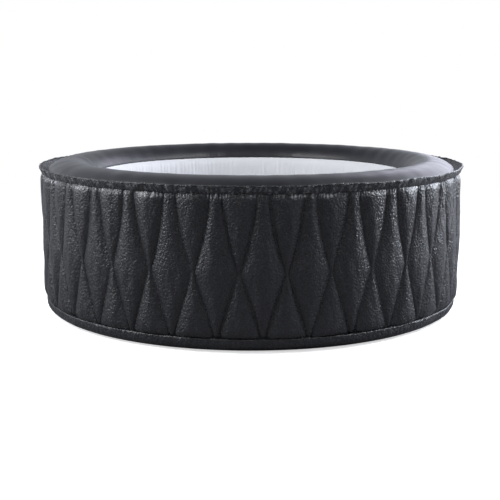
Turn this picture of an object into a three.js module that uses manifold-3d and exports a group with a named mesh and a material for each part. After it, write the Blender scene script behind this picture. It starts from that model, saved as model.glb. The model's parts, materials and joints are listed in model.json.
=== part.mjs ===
// Round inflatable hot tub with its pump, heater and air blower built into the back wall.
// Millimetres, +Z up. The origin is on the ground at the centre of the base, and the front faces -Y.

import * as THREE from 'three';
import { mergeVertices } from 'three/addons/utils/BufferGeometryUtils.js';
import Module from 'manifold-3d';

const wasm = await Module();
wasm.setup();

// ---------------------------------------------------------------- driving dimensions

const GAP = 0.5; // between pieces that touch
const WELD = 0.001; // corners closer than this are one corner
const SIDES_AROUND = 36; // flats round the tub, one of them centred on each axis
const TUBE_STEP = 22.5; // degrees between the corners of the top ring's section
const HOLE_SIDES = 16;
const HOLE_SPREAD = 1 / Math.cos(Math.PI / HOLE_SIDES);

// Soft wall, from the ground up
const BASE_RADIUS = 944;
const SHEET = 3;
const FLOOR_SHEET = 6;
const HEM_TOP = 60;
const HEM_RISE = 32; // height of the rounded edge under the wall
const HEM_REACH = 58; // how far that edge reaches out from the base circle
const HEM_THICKNESS = 4;
const SKIN_RADIUS = 1008;
const SKIN_THICKNESS = 10;
const SEAM_HEIGHT = 653; // where the skin meets the collar
const LIP_RADIUS = 1020;
const LIP_TOP = 686;
const PIPING_RADIUS = 3;

// Inflated ring on top of the wall
const RING_RADIUS = 867;
const RING_TUBE = 115;
const RING_HEIGHT = 597;

// Inside of the tub
const LINER_RADIUS = 751.5;
const LINER_THICKNESS = 3;
const BLADDER_INNER = 754;
const BLADDER_OUTER = 996;
const CHANNEL_WIDTH = 30;
const CHANNEL_TOP = 33;
const CHANNEL_WALL = 2.5;
const JET_COUNT = 12;
const JET_RADIUS = 3;

// Case in the back wall (x is half its width, y its inner and outer face, z its bottom and top)
const CASE = { x: 200, inner: 762, outer: 970, bottom: 62, top: 470, wall: 4 };
const COVER = { x: 184.5, back: 970.5, arc: 1012, wall: 6, bottom: 78, top: 465 };
const COVER_SCREW = { x: 170, low: 96, high: 447, shank: 2.2, head: 5, seat: 994.5, tip: 950 };
const BOSS = { x: 160, front: 935, half: 8 };
const GLAND = { height: 108, floor: 985, radius: 8, pocket: 30, wall: 3 };
const INSIDE = 700; // cutters through the liner start here, inside the tub
const BEHIND_LINER = 800; // and end here, behind it
const POCKET = 930; // cutters for the valves start here, in the air chamber
const DEEP = 985; // cutters through the cover start here
const BEYOND = 1030; // and end here, past every front

// Keypad in the cover
const KEYPAD = { x: 86, bottom: 374, top: 444, back: 1000, front: 1009 };
const DISPLAY = { x: 34, bottom: 411, top: 437 };
const BUTTON = { height: 391, radius: 8, flange: 9.5, pitch: 25, back: 993.5, step: 999.5, front: 1010.6 };
const MEMBRANE = { x: 82, back: 985, front: 991.5, inset: 2 };
const BOARD_FACE = 978; // back of the circuit board, towards the keypad
const BUTTON_NAMES = ['power', 'heat', 'filter', 'bubbles', 'up', 'down'];

// Service door in the cover, hinged on its left edge
const DOOR = { x: 121, bottom: 150, top: 345, clearance: 1, notch: 235, notchTop: 260 };
const LOUVRE = { count: 6, x: 85, lowest: 184, height: 8, pitch: 25 };
const HINGE = { x: -126, y: 1002, bottom: 170, top: 325, barrel: 4.6, lug: 5, pin: 2, bore: 2.4 };

// Water circuit, along the Y axis behind the filter and along X through the heater
const FILTER_HEIGHT = 215;
const FILTER = { mouth: 737, plane: 744.5, rear: 848, bore: 49, wall: 3.5, flange: 62 };
const CARTRIDGE = { front: 755, rear: 840, radius: 45, core: 12, pleats: 14, depth: 6 };
const PUMP = { front: 862, rear: 900, radius: 50, wall: 4, shaft: 4 };
const PIPE = { radius: 14, bore: 11, bend: 30 };
const PIPE_LINE = 881; // y of the upright pipes and the heater
const HEATER = { height: 320, x: 125, radius: 24, wall: 4, port: 100 };
const RETURN_HEIGHT = 95;

// Air circuit
const BLOWER = { x: 105, height: 405, front: 870, rear: 925, radius: 52, wall: 4 };
const AIR_LINE = { x: 150, y: 897 };
const CHECK_VALVE = { bottom: 262, step: 275, seat: 321.3, top: 339.4, radius: 17, bore: 13 };
const FLAP = { radius: 10.2, thickness: 2 };
const HOSE = { radius: 11, bore: 8.5 };
const AIR_INLET = { angle: 80, height: 80, radius: 8, bore: 6, drop: 733 };

// Fittings through the soft wall: degrees round from +X, and height
const SKIN_FLAT = SKIN_RADIUS * Math.cos(Math.PI / SIDES_AROUND);
const LINER_FLAT = (LINER_RADIUS - LINER_THICKNESS) * Math.cos(Math.PI / SIDES_AROUND);
const FLANGE_BACK = SKIN_FLAT + GAP;
const FLANGE_FRONT = 1010;
const CAP_FRONT = 1016.4;
const VALVE = { angle: 60, height: 420, body: 22, bore: 15.2, seat: 9, flange: 36, foot: 960 };
const RELIEF = { angle: 70, height: 420, body: 16, bore: 11, seat: 6, flange: 26, foot: 965 };
const DRAIN = { angle: 110, height: 90, body: 16, bore: 12.5, flange: 26 };

// ---------------------------------------------------------------- finishes

const LEATHER = { color: 0x45464a, roughness: 0.45, metalness: 0 };
const VINYL_DARK = { color: 0x4c4d51, roughness: 0.5, metalness: 0 };
const VINYL_PALE = { color: 0xdedee2, roughness: 0.55, metalness: 0 };
const FILM = { color: 0x8e9094, roughness: 0.7, metalness: 0 };
const CASE_PLASTIC = { color: 0x3a3b3e, roughness: 0.55, metalness: 0 };
const COVER_PLASTIC = { color: 0x4a4b4f, roughness: 0.4, metalness: 0 };
const WHITE_PLASTIC = { color: 0xe6e6e4, roughness: 0.4, metalness: 0 };
const KEY_PLASTIC = { color: 0xc9cacc, roughness: 0.35, metalness: 0 };
const DARK_GLASS = { color: 0x15181c, roughness: 0.1, metalness: 0 };
const RUBBER = { color: 0x1d1d1f, roughness: 0.8, metalness: 0 };
const STEEL = { color: 0xb9bcc0, roughness: 0.3, metalness: 1 };
const BOARD = { color: 0x1f5a3a, roughness: 0.6, metalness: 0 };
const PLEATED_PAPER = { color: 0xf0f1f3, roughness: 0.9, metalness: 0 };

// ---------------------------------------------------------------- shape helpers

const tub = new THREE.Group();

function part(name, geometry, finish, parent = tub) {
  const mesh = new THREE.Mesh(geometry, new THREE.MeshStandardMaterial(finish));
  mesh.name = name;
  parent.add(mesh);
  return mesh;
}

// Shares equal corners, and drops faces that have shrunk to a line.
function weld(geometry) {
  const bare = geometry.index ? geometry.toNonIndexed() : geometry.clone();
  bare.deleteAttribute('normal');
  bare.deleteAttribute('uv');
  const merged = mergeVertices(bare, WELD);
  const faces = [];
  for (let i = 0; i < merged.index.count; i += 3) {
    const [a, b, c] = merged.index.array.slice(i, i + 3);
    if (a !== b && b !== c && c !== a) faces.push(a, b, c);
  }
  merged.setIndex(faces);
  return merged;
}

function toSolid(geometry) {
  const vertProperties = new Float32Array(geometry.attributes.position.array);
  const triVerts = Uint32Array.from(geometry.index.array);
  return new wasm.Manifold(new wasm.Mesh({ numProp: 3, vertProperties, triVerts }));
}

function fromSolid(solid) {
  const mesh = solid.getMesh();
  const geometry = new THREE.BufferGeometry();
  geometry.setAttribute('position', new THREE.BufferAttribute(mesh.vertProperties, 3));
  geometry.setIndex(Array.from(mesh.triVerts));
  return geometry;
}

function join(...geometries) {
  return fromSolid(geometries.map(toSolid).reduce((whole, next) => whole.add(next)));
}

function cut(geometry, ...cutters) {
  return fromSolid(cutters.map(toSolid).reduce((rest, next) => rest.subtract(next), toSolid(geometry)));
}

// Area of an outline, positive when it runs counter-clockwise.
function signedArea(outline) {
  return outline.reduce((sum, [r, z], i) => {
    const [nextR, nextZ] = outline[(i + 1) % outline.length];
    return sum + (r * nextZ - nextR * z) / 2;
  }, 0);
}

// Turns an outline of [radius, height] points about +Z, with a flat centred on each axis.
function revolve(outline, sides = SIDES_AROUND) {
  const ordered = signedArea(outline) > 0 ? outline : [...outline].reverse();
  const points = [...ordered, ordered[0]].map(([r, z]) => new THREE.Vector2(r, z));
  const geometry = weld(new THREE.LatheGeometry(points, sides));
  return geometry.rotateX(Math.PI / 2).rotateZ(Math.PI / sides);
}

// The same, about +Y or +X: the outline's second number is then y or x.
const revolveY = (outline, sides = 12) => revolve(outline, sides).rotateX(-Math.PI / 2);
const revolveX = (outline, sides = 12) => revolve(outline, sides).rotateY(Math.PI / 2);

const rod = (radius, from, to) => [[0, from], [radius, from], [radius, to], [0, to]];
const sleeve = (bore, radius, from, to) => [[bore, from], [radius, from], [radius, to], [bore, to]];

// A box from its lowest to its highest corner.
function block([x0, y0, z0], [x1, y1, z1]) {
  const box = new THREE.BoxGeometry(x1 - x0, y1 - y0, z1 - z0);
  return weld(box).translate((x0 + x1) / 2, (y0 + y1) / 2, (z0 + z1) / 2);
}

function polygon(radius, sides) {
  return Array.from({ length: sides }, (_, i) => {
    const turn = (2 * Math.PI * i) / sides;
    return new THREE.Vector2(radius * Math.cos(turn), radius * Math.sin(turn));
  });
}

// Straight runs through the points, with each corner rounded.
function roundedPath(points, bend = PIPE.bend) {
  const corners = points.map((p) => new THREE.Vector3(...p));
  const path = new THREE.CurvePath();
  let from = corners[0];
  for (let i = 1; i < corners.length - 1; i += 1) {
    const before = corners[i].clone().lerp(corners[i - 1], bend / corners[i].distanceTo(corners[i - 1]));
    const after = corners[i].clone().lerp(corners[i + 1], bend / corners[i].distanceTo(corners[i + 1]));
    path.add(new THREE.LineCurve3(from, before));
    path.add(new THREE.QuadraticBezierCurve3(before, corners[i], after));
    from = after;
  }
  path.add(new THREE.LineCurve3(from, corners.at(-1)));
  return path;
}

function sweep(path, steps, radius, bore = 0, sides = 8) {
  const section = new THREE.Shape(polygon(radius, sides));
  if (bore > 0) section.holes.push(new THREE.Path(polygon(bore, sides)));
  return weld(new THREE.ExtrudeGeometry(section, { steps, extrudePath: path, bevelEnabled: false }));
}

// A coil about +X.
class Helix extends THREE.Curve {
  constructor(radius, from, to, turns) {
    super();
    Object.assign(this, { radius, from, to, turns });
  }

  getPoint(t, target = new THREE.Vector3()) {
    const turn = 2 * Math.PI * this.turns * t;
    const along = THREE.MathUtils.lerp(this.from, this.to, t);
    return target.set(along, this.radius * Math.cos(turn), this.radius * Math.sin(turn));
  }
}

function spring(radius, wire, from, to, turns) {
  return sweep(new Helix(radius, from + wire, to - wire, turns), turns * 8, wire, 0, 4);
}

function uprightSlab(outline, bottom, top, curveSegments) {
  const settings = { depth: top - bottom, bevelEnabled: false, curveSegments };
  return weld(new THREE.ExtrudeGeometry(outline, settings)).translate(0, 0, bottom);
}

// An upright slab between two arcs about the tub's axis and two straight sides.
function arcBand(inner, outer, left, right, bottom, top) {
  const angle = (radius, x) => Math.acos(x / radius);
  const outline = new THREE.Shape();
  outline.absarc(0, 0, outer, angle(outer, right), angle(outer, left), false);
  outline.absarc(0, 0, inner, angle(inner, left), angle(inner, right), true);
  return uprightSlab(outline, bottom, top, 4);
}

// An upright slab between a straight back and an arc about the tub's axis.
function archSlab(halfWidth, back, arc, bottom, top) {
  const outline = new THREE.Shape();
  outline.moveTo(-halfWidth, back);
  outline.lineTo(halfWidth, back);
  outline.absarc(0, 0, arc, Math.acos(halfWidth / arc), Math.acos(-halfWidth / arc), false);
  return uprightSlab(outline, bottom, top, 6);
}

// Local frame of a wall fitting: +X points straight out of the tub at that place.
function wallFrame({ angle, height }) {
  const frame = new THREE.Group();
  frame.rotation.z = THREE.MathUtils.degToRad(angle);
  frame.position.z = height;
  tub.add(frame);
  return frame;
}

// Cutters whose flats, not their corners, keep the radius: along +Y, and straight through the wall.
function holeY(radius, from, to, height) {
  return revolveY(rod(radius * HOLE_SPREAD, from, to), HOLE_SIDES).translate(0, 0, height);
}

function wallHole({ angle, height }, radius, from, to) {
  const hole = revolveX(rod(radius * HOLE_SPREAD, from, to), HOLE_SIDES);
  return hole.rotateZ(THREE.MathUtils.degToRad(angle)).translate(0, 0, height);
}

// ---------------------------------------------------------------- soft wall

// A point round the top ring's section, at an angle in degrees.
function ringPoint(radius, degrees) {
  const angle = THREE.MathUtils.degToRad(degrees);
  return [RING_RADIUS + radius * Math.cos(angle), RING_HEIGHT + radius * Math.sin(angle)];
}

function ringArc(radius, from, to) {
  const count = Math.round(Math.abs(to - from) / TUBE_STEP);
  const step = (to - from) / count;
  return Array.from({ length: count + 1 }, (_, i) => ringPoint(radius, from + step * i));
}

// The rounded edge under the wall, drawn inwards by an inset.
function hemCurve(inset) {
  return [0, 45, 90].map((degrees) => {
    const angle = THREE.MathUtils.degToRad(degrees);
    const reach = (HEM_REACH - inset) * Math.sin(angle);
    const rise = (HEM_RISE - inset) * Math.cos(angle);
    return [BASE_RADIUS + reach, HEM_RISE - rise];
  });
}

function keypadWindow() {
  return block(
    [-KEYPAD.x - GAP, COVER.back + 10, KEYPAD.bottom - GAP],
    [KEYPAD.x + GAP, LIP_RADIUS, KEYPAD.top + GAP],
  );
}

function buildGroundSheets() {
  part('base_sheet', revolve(rod(BASE_RADIUS - GAP, 0, SHEET)), FILM);
  const floorRadius = LINER_RADIUS - LINER_THICKNESS - GAP;
  part('floor_sheet', revolve(rod(floorRadius, SHEET + GAP, SHEET + GAP + FLOOR_SHEET)), VINYL_PALE);
}

function buildHem() {
  const outer = [...hemCurve(0), [SKIN_RADIUS - HEM_THICKNESS, HEM_TOP - GAP]];
  const inner = [...hemCurve(HEM_THICKNESS), [SKIN_RADIUS - SKIN_THICKNESS, HEM_TOP - GAP]];
  part('hem_band', revolve([...outer, ...inner.reverse()]), LEATHER);
}

function buildSkin() {
  const wrap = revolve(sleeve(SKIN_RADIUS - SKIN_THICKNESS, SKIN_RADIUS, HEM_TOP, SEAM_HEIGHT));
  const coverWindow = block(
    [-COVER.x - 1, CASE.outer - 20, COVER.bottom - 1],
    [COVER.x + 1, LIP_RADIUS + 10, COVER.top + 1],
  );
  const holes = [VALVE, RELIEF, DRAIN].map((fitting) => (
    wallHole(fitting, fitting.body + GAP, POCKET, BEYOND)
  ));
  part('outer_skin', cut(wrap, coverWindow, ...holes), LEATHER);
}

function buildCollar() {
  const skinInner = SKIN_RADIUS - SKIN_THICKNESS - GAP;
  const foot = SEAM_HEIGHT + GAP;
  const rim = LIP_TOP - 2 * PIPING_RADIUS - GAP;
  const outline = [
    [skinInner - 22, foot - 13], [skinInner, foot - 13], [skinInner, foot], [SKIN_RADIUS, foot],
    [LIP_RADIUS - 1, rim], [LIP_RADIUS - 6, rim], [skinInner - 5, foot - 7], [skinInner - 22, foot - 7],
  ];
  part('collar', revolve(outline), LEATHER);
  const centre = new THREE.Vector2(LIP_RADIUS - PIPING_RADIUS, LIP_TOP - PIPING_RADIUS);
  const welt = polygon(PIPING_RADIUS, 5).map((p) => [centre.x + p.x, centre.y + p.y]);
  part('collar_piping', revolve(welt), LEATHER);
}

function buildRing() {
  part('top_ring', revolve(ringArc(RING_TUBE, 0, 360 - TUBE_STEP)), VINYL_DARK);
}

function buildBladder() {
  const underside = [[BLADDER_INNER, SHEET + GAP], [BASE_RADIUS - 14, SHEET + GAP]];
  const edge = hemCurve(HEM_THICKNESS + 3).slice(1);
  const nest = ringArc(RING_TUBE + GAP, -TUBE_STEP, TUBE_STEP - 180);
  const shoulder = nest[0][1];
  const outline = [
    ...underside, ...edge, [BLADDER_OUTER, shoulder], ...nest, [BLADDER_INNER, shoulder],
  ];
  const niche = block([-CASE.x - 2, INSIDE, CASE.bottom - 1], [CASE.x + 2, LIP_RADIUS, RING_HEIGHT]);
  const valvePocket = wallHole(VALVE, VALVE.body + 1, POCKET, BEYOND);
  const reliefPocket = wallHole(RELIEF, RELIEF.body + 1, POCKET, BEYOND);
  const drainPath = wallHole(DRAIN, DRAIN.body + GAP, INSIDE, BEYOND);
  part('wall_bladder', cut(revolve(outline), niche, valvePocket, reliefPocket, drainPath), FILM);
}

function buildLiner() {
  const [seamR, seamZ] = ringPoint(RING_TUBE + GAP, 180 - TUBE_STEP);
  const outline = [
    [LINER_RADIUS, SHEET + GAP], [LINER_RADIUS, RING_HEIGHT], [seamR, seamZ],
    [seamR - LINER_THICKNESS, seamZ + 1], [LINER_RADIUS - LINER_THICKNESS, RING_HEIGHT],
    [LINER_RADIUS - LINER_THICKNESS, SHEET + GAP],
  ];
  const filterHole = holeY(FILTER.bore + FILTER.wall + GAP, INSIDE, BEHIND_LINER, FILTER_HEIGHT);
  const returnHole = holeY(PIPE.bore, INSIDE, BEHIND_LINER, RETURN_HEIGHT);
  const airHole = wallHole(AIR_INLET, AIR_INLET.radius + GAP, INSIDE, BEHIND_LINER);
  const drainHole = wallHole(DRAIN, DRAIN.bore, INSIDE, BEHIND_LINER);
  part('liner_wall', cut(revolve(outline), filterHole, returnHole, airHole, drainHole), VINYL_PALE);
}

// The channel is open below, where the floor closes it.
function buildBubbleChannel() {
  const outer = LINER_RADIUS - LINER_THICKNESS - GAP;
  const inner = outer - CHANNEL_WIDTH;
  const bottom = SHEET + GAP + FLOOR_SHEET + GAP;
  const outline = [
    [outer, bottom], [outer, CHANNEL_TOP], [inner, CHANNEL_TOP], [inner, bottom],
    [inner + CHANNEL_WALL, bottom], [inner + CHANNEL_WALL, CHANNEL_TOP - CHANNEL_WALL],
    [outer - CHANNEL_WALL, CHANNEL_TOP - CHANNEL_WALL], [outer - CHANNEL_WALL, bottom],
  ];
  const through = (radius, sides, turn) => {
    const drill = revolve(rod(radius, CHANNEL_TOP - 6, CHANNEL_TOP + 6), sides);
    return drill.translate(AIR_INLET.drop, 0, 0).rotateZ(turn);
  };
  const jets = Array.from({ length: JET_COUNT }, (_, i) => (
    through(JET_RADIUS, 6, (2 * Math.PI * i) / JET_COUNT)
  ));
  const inlet = through(AIR_INLET.bore, 8, THREE.MathUtils.degToRad(AIR_INLET.angle));
  part('bubble_channel', cut(revolve(outline), ...jets, inlet), VINYL_PALE);
}

// ---------------------------------------------------------------- case in the back wall

function buildCase() {
  const { x, inner, outer, bottom, top, wall } = CASE;
  const shell = block([-x, inner, bottom], [x, outer, top]);
  const room = block([-x + wall, inner + wall, bottom + wall], [x - wall, outer + wall, top - wall]);
  const bosses = [-1, 1].flatMap((side) => [COVER_SCREW.low, COVER_SCREW.high].map((z) => {
    const boss = block([BOSS.x, BOSS.front, z - BOSS.half], [x - 1, outer - GAP, z + BOSS.half]);
    return side > 0 ? boss : boss.rotateZ(Math.PI).translate(0, BOSS.front + outer - GAP, 0);
  }));
  const screwHoles = [-1, 1].flatMap((side) => [COVER_SCREW.low, COVER_SCREW.high].map((z) => (
    revolveY(rod(COVER_SCREW.shank + GAP, COVER_SCREW.tip - 5, DEEP), 8).translate(side * COVER_SCREW.x, 0, z)
  )));
  const filterHole = holeY(FILTER.bore + FILTER.wall + GAP, INSIDE, BEHIND_LINER, FILTER_HEIGHT);
  const returnHole = holeY(PIPE.radius + GAP, INSIDE, BEHIND_LINER, RETURN_HEIGHT);
  const airHole = wallHole(AIR_INLET, HOSE.radius + 1, INSIDE, BEHIND_LINER);
  const bossed = join(cut(shell, room), ...bosses);
  part('case_body', cut(bossed, ...screwHoles, filterHole, returnHole, airHole), CASE_PLASTIC);
}

function hingeRod(radius, from, to) {
  return revolve(rod(radius, from, to), 12).translate(HINGE.x, HINGE.y, 0);
}

function buildCover() {
  const { x, back, arc: outer, wall, bottom, top } = COVER;
  const body = archSlab(x, back, outer, bottom, top);
  const room = archSlab(x - 4, back - 5, outer - wall, bottom + 4, top - 4);
  const doorWindow = block([-DOOR.x, DEEP, DOOR.bottom], [DOOR.x, BEYOND, DOOR.top]);
  const barrelNotch = block([HINGE.x - 6, DEEP, HINGE.bottom], [-DOOR.x + 2, BEYOND, HINGE.top]);
  const lugs = [
    hingeRod(HINGE.lug, DOOR.bottom - 1, HINGE.bottom - GAP),
    hingeRod(HINGE.lug, HINGE.top + GAP, DOOR.top + 1),
  ];
  const pinBore = hingeRod(HINGE.bore, DOOR.bottom - 4, DOOR.top + 4);
  const { floor, height, pocket, wall: pocketWall } = GLAND;
  const cablePocket = block([-pocket, floor, height - 20], [pocket, outer - 4, height + 20]);
  const cableRoom = block(
    [-pocket + pocketWall, floor + pocketWall, height - 20 + pocketWall],
    [pocket - pocketWall, BEYOND, height + 20 - pocketWall],
  );
  const glandHole = holeY(GLAND.radius + GAP, CASE.outer, floor + 15, height);
  const screwHoles = [-1, 1].flatMap((side) => [COVER_SCREW.low, COVER_SCREW.high].flatMap((z) => [
    revolveY(rod(COVER_SCREW.shank + GAP, COVER_SCREW.tip, BEYOND), 8),
    revolveY(rod(COVER_SCREW.head + GAP, COVER_SCREW.seat - GAP, BEYOND)),
  ].map((hole) => hole.translate(side * COVER_SCREW.x, 0, z))));
  const open = cut(body, room, doorWindow, barrelNotch, keypadWindow());
  const dressed = join(open, ...lugs, cablePocket);
  part('unit_cover', cut(dressed, pinBore, cableRoom, glandHole, ...screwHoles), COVER_PLASTIC);
}

function buildCoverScrews() {
  const { x, low, high, shank, head, seat, tip } = COVER_SCREW;
  const places = [[-x, low], [x, low], [-x, high], [x, high]];
  const outline = [
    [0, tip], [shank, tip], [shank, seat], [head, seat], [head, seat + 2.5], [0, seat + 3.2],
  ];
  const slots = [[0.6, 3.2], [3.2, 0.6]].map(([across, up]) => (
    block([-across, seat + 1.6, -up], [across, seat + 6, up])
  ));
  places.forEach(([px, pz], i) => {
    const screw = part(`cover_screw_${i + 1}`, cut(revolveY(outline, 10), ...slots), STEEL);
    screw.position.set(px, 0, pz);
  });
}

function buildDoor() {
  const { clearance } = DOOR;
  const inner = COVER.arc - COVER.wall + GAP;
  const edge = DOOR.x - clearance;
  const panel = arcBand(inner, COVER.arc, -edge, edge, DOOR.bottom + clearance, DOOR.top - clearance);
  const webBottom = HINGE.bottom + clearance;
  const web = arcBand(inner, COVER.arc - 1, HINGE.x + 2.6, -edge + 3, webBottom, HINGE.top - clearance);
  const barrel = hingeRod(HINGE.barrel, HINGE.bottom + GAP, HINGE.top - GAP);
  const pinBore = hingeRod(HINGE.bore, HINGE.bottom - 5, HINGE.top + 5);
  const louvres = Array.from({ length: LOUVRE.count }, (_, i) => {
    const low = LOUVRE.lowest + LOUVRE.pitch * i;
    return block([-LOUVRE.x, DEEP, low], [LOUVRE.x, BEYOND, low + LOUVRE.height]);
  });
  const fingerNotch = block([edge - 12, COVER.arc - 12, DOOR.notch], [edge + 5, BEYOND, DOOR.notchTop]);
  part('service_door', cut(join(panel, web, barrel), pinBore, ...louvres, fingerNotch), COVER_PLASTIC);
  part('door_pin', hingeRod(HINGE.pin, DOOR.bottom - 3, DOOR.top + 3), STEEL);
}

function buttonPlaces() {
  return BUTTON_NAMES.map((name, i) => [name, BUTTON.pitch * (i - (BUTTON_NAMES.length - 1) / 2)]);
}

function buildKeypad() {
  const plate = block([-KEYPAD.x, KEYPAD.back, KEYPAD.bottom], [KEYPAD.x, KEYPAD.front, KEYPAD.top]);
  const displayHole = block([-DISPLAY.x, DEEP, DISPLAY.bottom], [DISPLAY.x, BEYOND, DISPLAY.top]);
  const keyHoles = buttonPlaces().map(([, x]) => (
    revolveY(rod(BUTTON.radius + GAP, DEEP, BEYOND), 10).translate(x, 0, BUTTON.height)
  ));
  part('keypad_panel', cut(plate, displayHole, ...keyHoles), CASE_PLASTIC);
  part('display_window', block(
    [-DISPLAY.x + GAP, KEYPAD.back + 2, DISPLAY.bottom + GAP],
    [DISPLAY.x - GAP, KEYPAD.front - GAP, DISPLAY.top - GAP],
  ), DARK_GLASS);
  const { radius, flange, back, step, front } = BUTTON;
  const key = [
    [0, back], [flange, back], [flange, step], [radius, step],
    [radius, front - 0.8], [radius - 1, front], [0, front],
  ];
  buttonPlaces().forEach(([name, x]) => {
    part(`button_${name}`, revolveY(key, 10), KEY_PLASTIC).position.set(x, 0, BUTTON.height);
  });
  const { x: reach, back: under, front: over, inset } = MEMBRANE;
  const low = [-reach, under, KEYPAD.bottom + inset];
  part('keypad_membrane', block(low, [reach, over, KEYPAD.top - inset]), RUBBER);
}

function buildCircuitBoard() {
  const face = BOARD_FACE;
  const board = block([-MEMBRANE.x, face, KEYPAD.bottom], [MEMBRANE.x, face + 1.6, KEYPAD.top]);
  const transformer = block([-62, face - 12, 380], [-28, face + 1, 415]);
  const relays = [-12, 8].map((x) => block([x, face - 10, 384], [x + 14, face + 1, 402]));
  part('circuit_board', join(board, transformer, ...relays), BOARD);
}

function buildCableGland() {
  const face = GLAND.floor + GLAND.wall;
  const outline = [
    [4.5, GLAND.floor - 9], [GLAND.radius, GLAND.floor - 9], [GLAND.radius, face + GAP], [11, face + GAP],
    [11, face + 8], [9, face + 15], [4.5, face + 15],
  ];
  part('cable_gland', revolveY(outline, 12), RUBBER).position.z = GLAND.height;
}

// ---------------------------------------------------------------- water circuit

function buildFilter() {
  const { mouth, plane, rear, bore, wall, flange } = FILTER;
  const outer = bore + wall;
  const cup = [
    [bore, mouth], [flange, mouth], [flange, plane], [outer, plane], [outer, rear],
    [16, rear], [16, rear - 4], [bore, rear - 4],
  ];
  part('filter_housing', revolveY(cup, 18), WHITE_PLASTIC).position.z = FILTER_HEIGHT;

  const cap = [
    [0, mouth - 14], [56, mouth - 14], [60, mouth - 10], [60, mouth - GAP], [bore - 2, mouth - GAP],
    [bore - 2, mouth + 10], [bore - 5, mouth + 10], [bore - 5, mouth - 7], [0, mouth - 7],
  ];
  const slots = Array.from({ length: 6 }, (_, i) => {
    const slot = block([14, mouth - 20, -4], [42, mouth, 4]);
    return slot.rotateY((Math.PI * (i + 0.5)) / 3);
  });
  const grip = block([-44, mouth - 22, -5], [44, mouth - 13, 5]);
  const gripped = join(revolveY(cap, 18), grip);
  part('filter_cap', cut(gripped, ...slots), WHITE_PLASTIC).position.z = FILTER_HEIGHT;
}

function buildCartridge() {
  const { front, rear, radius, core, pleats, depth } = CARTRIDGE;
  const valley = 1 - depth / radius;
  const star = polygon(radius - 1, pleats * 2).map((p, i) => p.multiplyScalar(i % 2 ? valley : 1));
  const section = new THREE.Shape(star);
  section.holes.push(new THREE.Path(polygon(core, 12)));
  const length = rear - front - 2;
  const media = weld(new THREE.ExtrudeGeometry(section, { depth: length, bevelEnabled: false }));
  media.rotateX(-Math.PI / 2).translate(0, front + 1, 0);
  const ends = [front, rear - 5].map((from) => revolveY(sleeve(core, radius, from, from + 5)));
  part('filter_cartridge', join(media, ...ends), PLEATED_PAPER).position.z = FILTER_HEIGHT;
}

function buildPump() {
  const { front, rear, radius, wall, shaft } = PUMP;
  const volute = [
    [12, FILTER.rear - 2], [15.5, FILTER.rear - 2], [15.5, front], [radius, front], [radius, rear],
    [shaft + 1, rear], [shaft + 1, rear - wall], [radius - 6, rear - wall], [radius - 6, front + wall],
    [12, front + wall],
  ];
  const port = revolveX(rod(PIPE.radius, radius - 8, radius + 10), 8).translate(0, PIPE_LINE, 0);
  const portBore = revolveX(rod(PIPE.bore, radius - 14, radius + 20), 8).translate(0, PIPE_LINE, 0);
  const ported = join(revolveY(volute, 16), port);
  part('pump_volute', cut(ported, portBore), CASE_PLASTIC).position.z = FILTER_HEIGHT;

  const hub = revolveY([
    [0, front + 7], [9, front + 10], [9, rear - 6], [shaft, rear - 6], [shaft, rear + 12], [0, rear + 12],
  ]);
  const disc = revolveY(rod(radius - 10, rear - 10, rear - 7), 20);
  const vanes = Array.from({ length: 6 }, (_, i) => (
    block([6, front + 10, -1.5], [radius - 11, rear - 9, 1.5]).rotateY((Math.PI * i) / 3)
  ));
  part('impeller', join(hub, disc, ...vanes), CASE_PLASTIC).position.z = FILTER_HEIGHT;

  const motor = [
    [0, rear + 15], [shaft + 1, rear + 15], [shaft + 1, rear + GAP], [38, rear + GAP],
    [38, rear + 65], [30, rear + 72], [0, rear + 72],
  ];
  part('pump_motor', revolveY(motor, 14), STEEL).position.z = FILTER_HEIGHT;
}

function buildHeater() {
  const { height, x, radius, wall, port } = HEATER;
  const shell = revolveX(rod(radius, -x, x), 14);
  const room = revolveX(rod(radius - wall, -x + wall, x - wall), 14);
  const below = (reach, length) => [-port, port].map((at) => (
    revolve(rod(reach, -radius - length, 0), 8).translate(at, 0, 0)
  ));
  const stubs = below(PIPE.radius, 10);
  const stubBores = below(PIPE.bore, 20);
  const terminalHole = revolveX(rod(6 + GAP, -x - 5, -x + 10), 10);
  const tube = cut(join(shell, ...stubs), room, ...stubBores, terminalHole);
  part('heater_tube', tube, STEEL).position.set(0, PIPE_LINE, height);
  part('heating_element', revolveX(rod(6, -x - 12, x - 15), 10), STEEL).position.set(0, PIPE_LINE, height);
}

function buildPipes() {
  const heaterPort = HEATER.height - HEATER.radius - 10 - GAP;
  const riser = roundedPath([
    [PUMP.radius + 10 + GAP, PIPE_LINE, FILTER_HEIGHT],
    [HEATER.port, PIPE_LINE, FILTER_HEIGHT],
    [HEATER.port, PIPE_LINE, heaterPort],
  ]);
  part('discharge_pipe', sweep(riser, 9, PIPE.radius, PIPE.bore), WHITE_PLASTIC);
  const downpipe = roundedPath([
    [-HEATER.port, PIPE_LINE, heaterPort],
    [-HEATER.port, PIPE_LINE, RETURN_HEIGHT],
    [0, PIPE_LINE, RETURN_HEIGHT],
    [0, LINER_RADIUS + 1, RETURN_HEIGHT],
  ]);
  part('return_pipe', sweep(downpipe, 18, PIPE.radius, PIPE.bore), WHITE_PLASTIC);

  const front = LINER_FLAT - GAP;
  const stub = PIPE.bore * Math.cos(Math.PI / 8) - GAP; // inside the pipe's flats
  const grille = [
    [0, front - 9], [20, front - 9], [24, front - 5], [24, front], [stub, front], [stub, front + 20],
    [stub - 2, front + 20], [stub - 2, front - 4], [0, front - 4],
  ];
  const slots = [-5, 0, 5].map((x) => block([x - 1.2, front - 12, -6], [x + 1.2, front, 6]));
  part('return_grille', cut(revolveY(grille), ...slots), WHITE_PLASTIC).position.z = RETURN_HEIGHT;
}

// ---------------------------------------------------------------- air circuit

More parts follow.
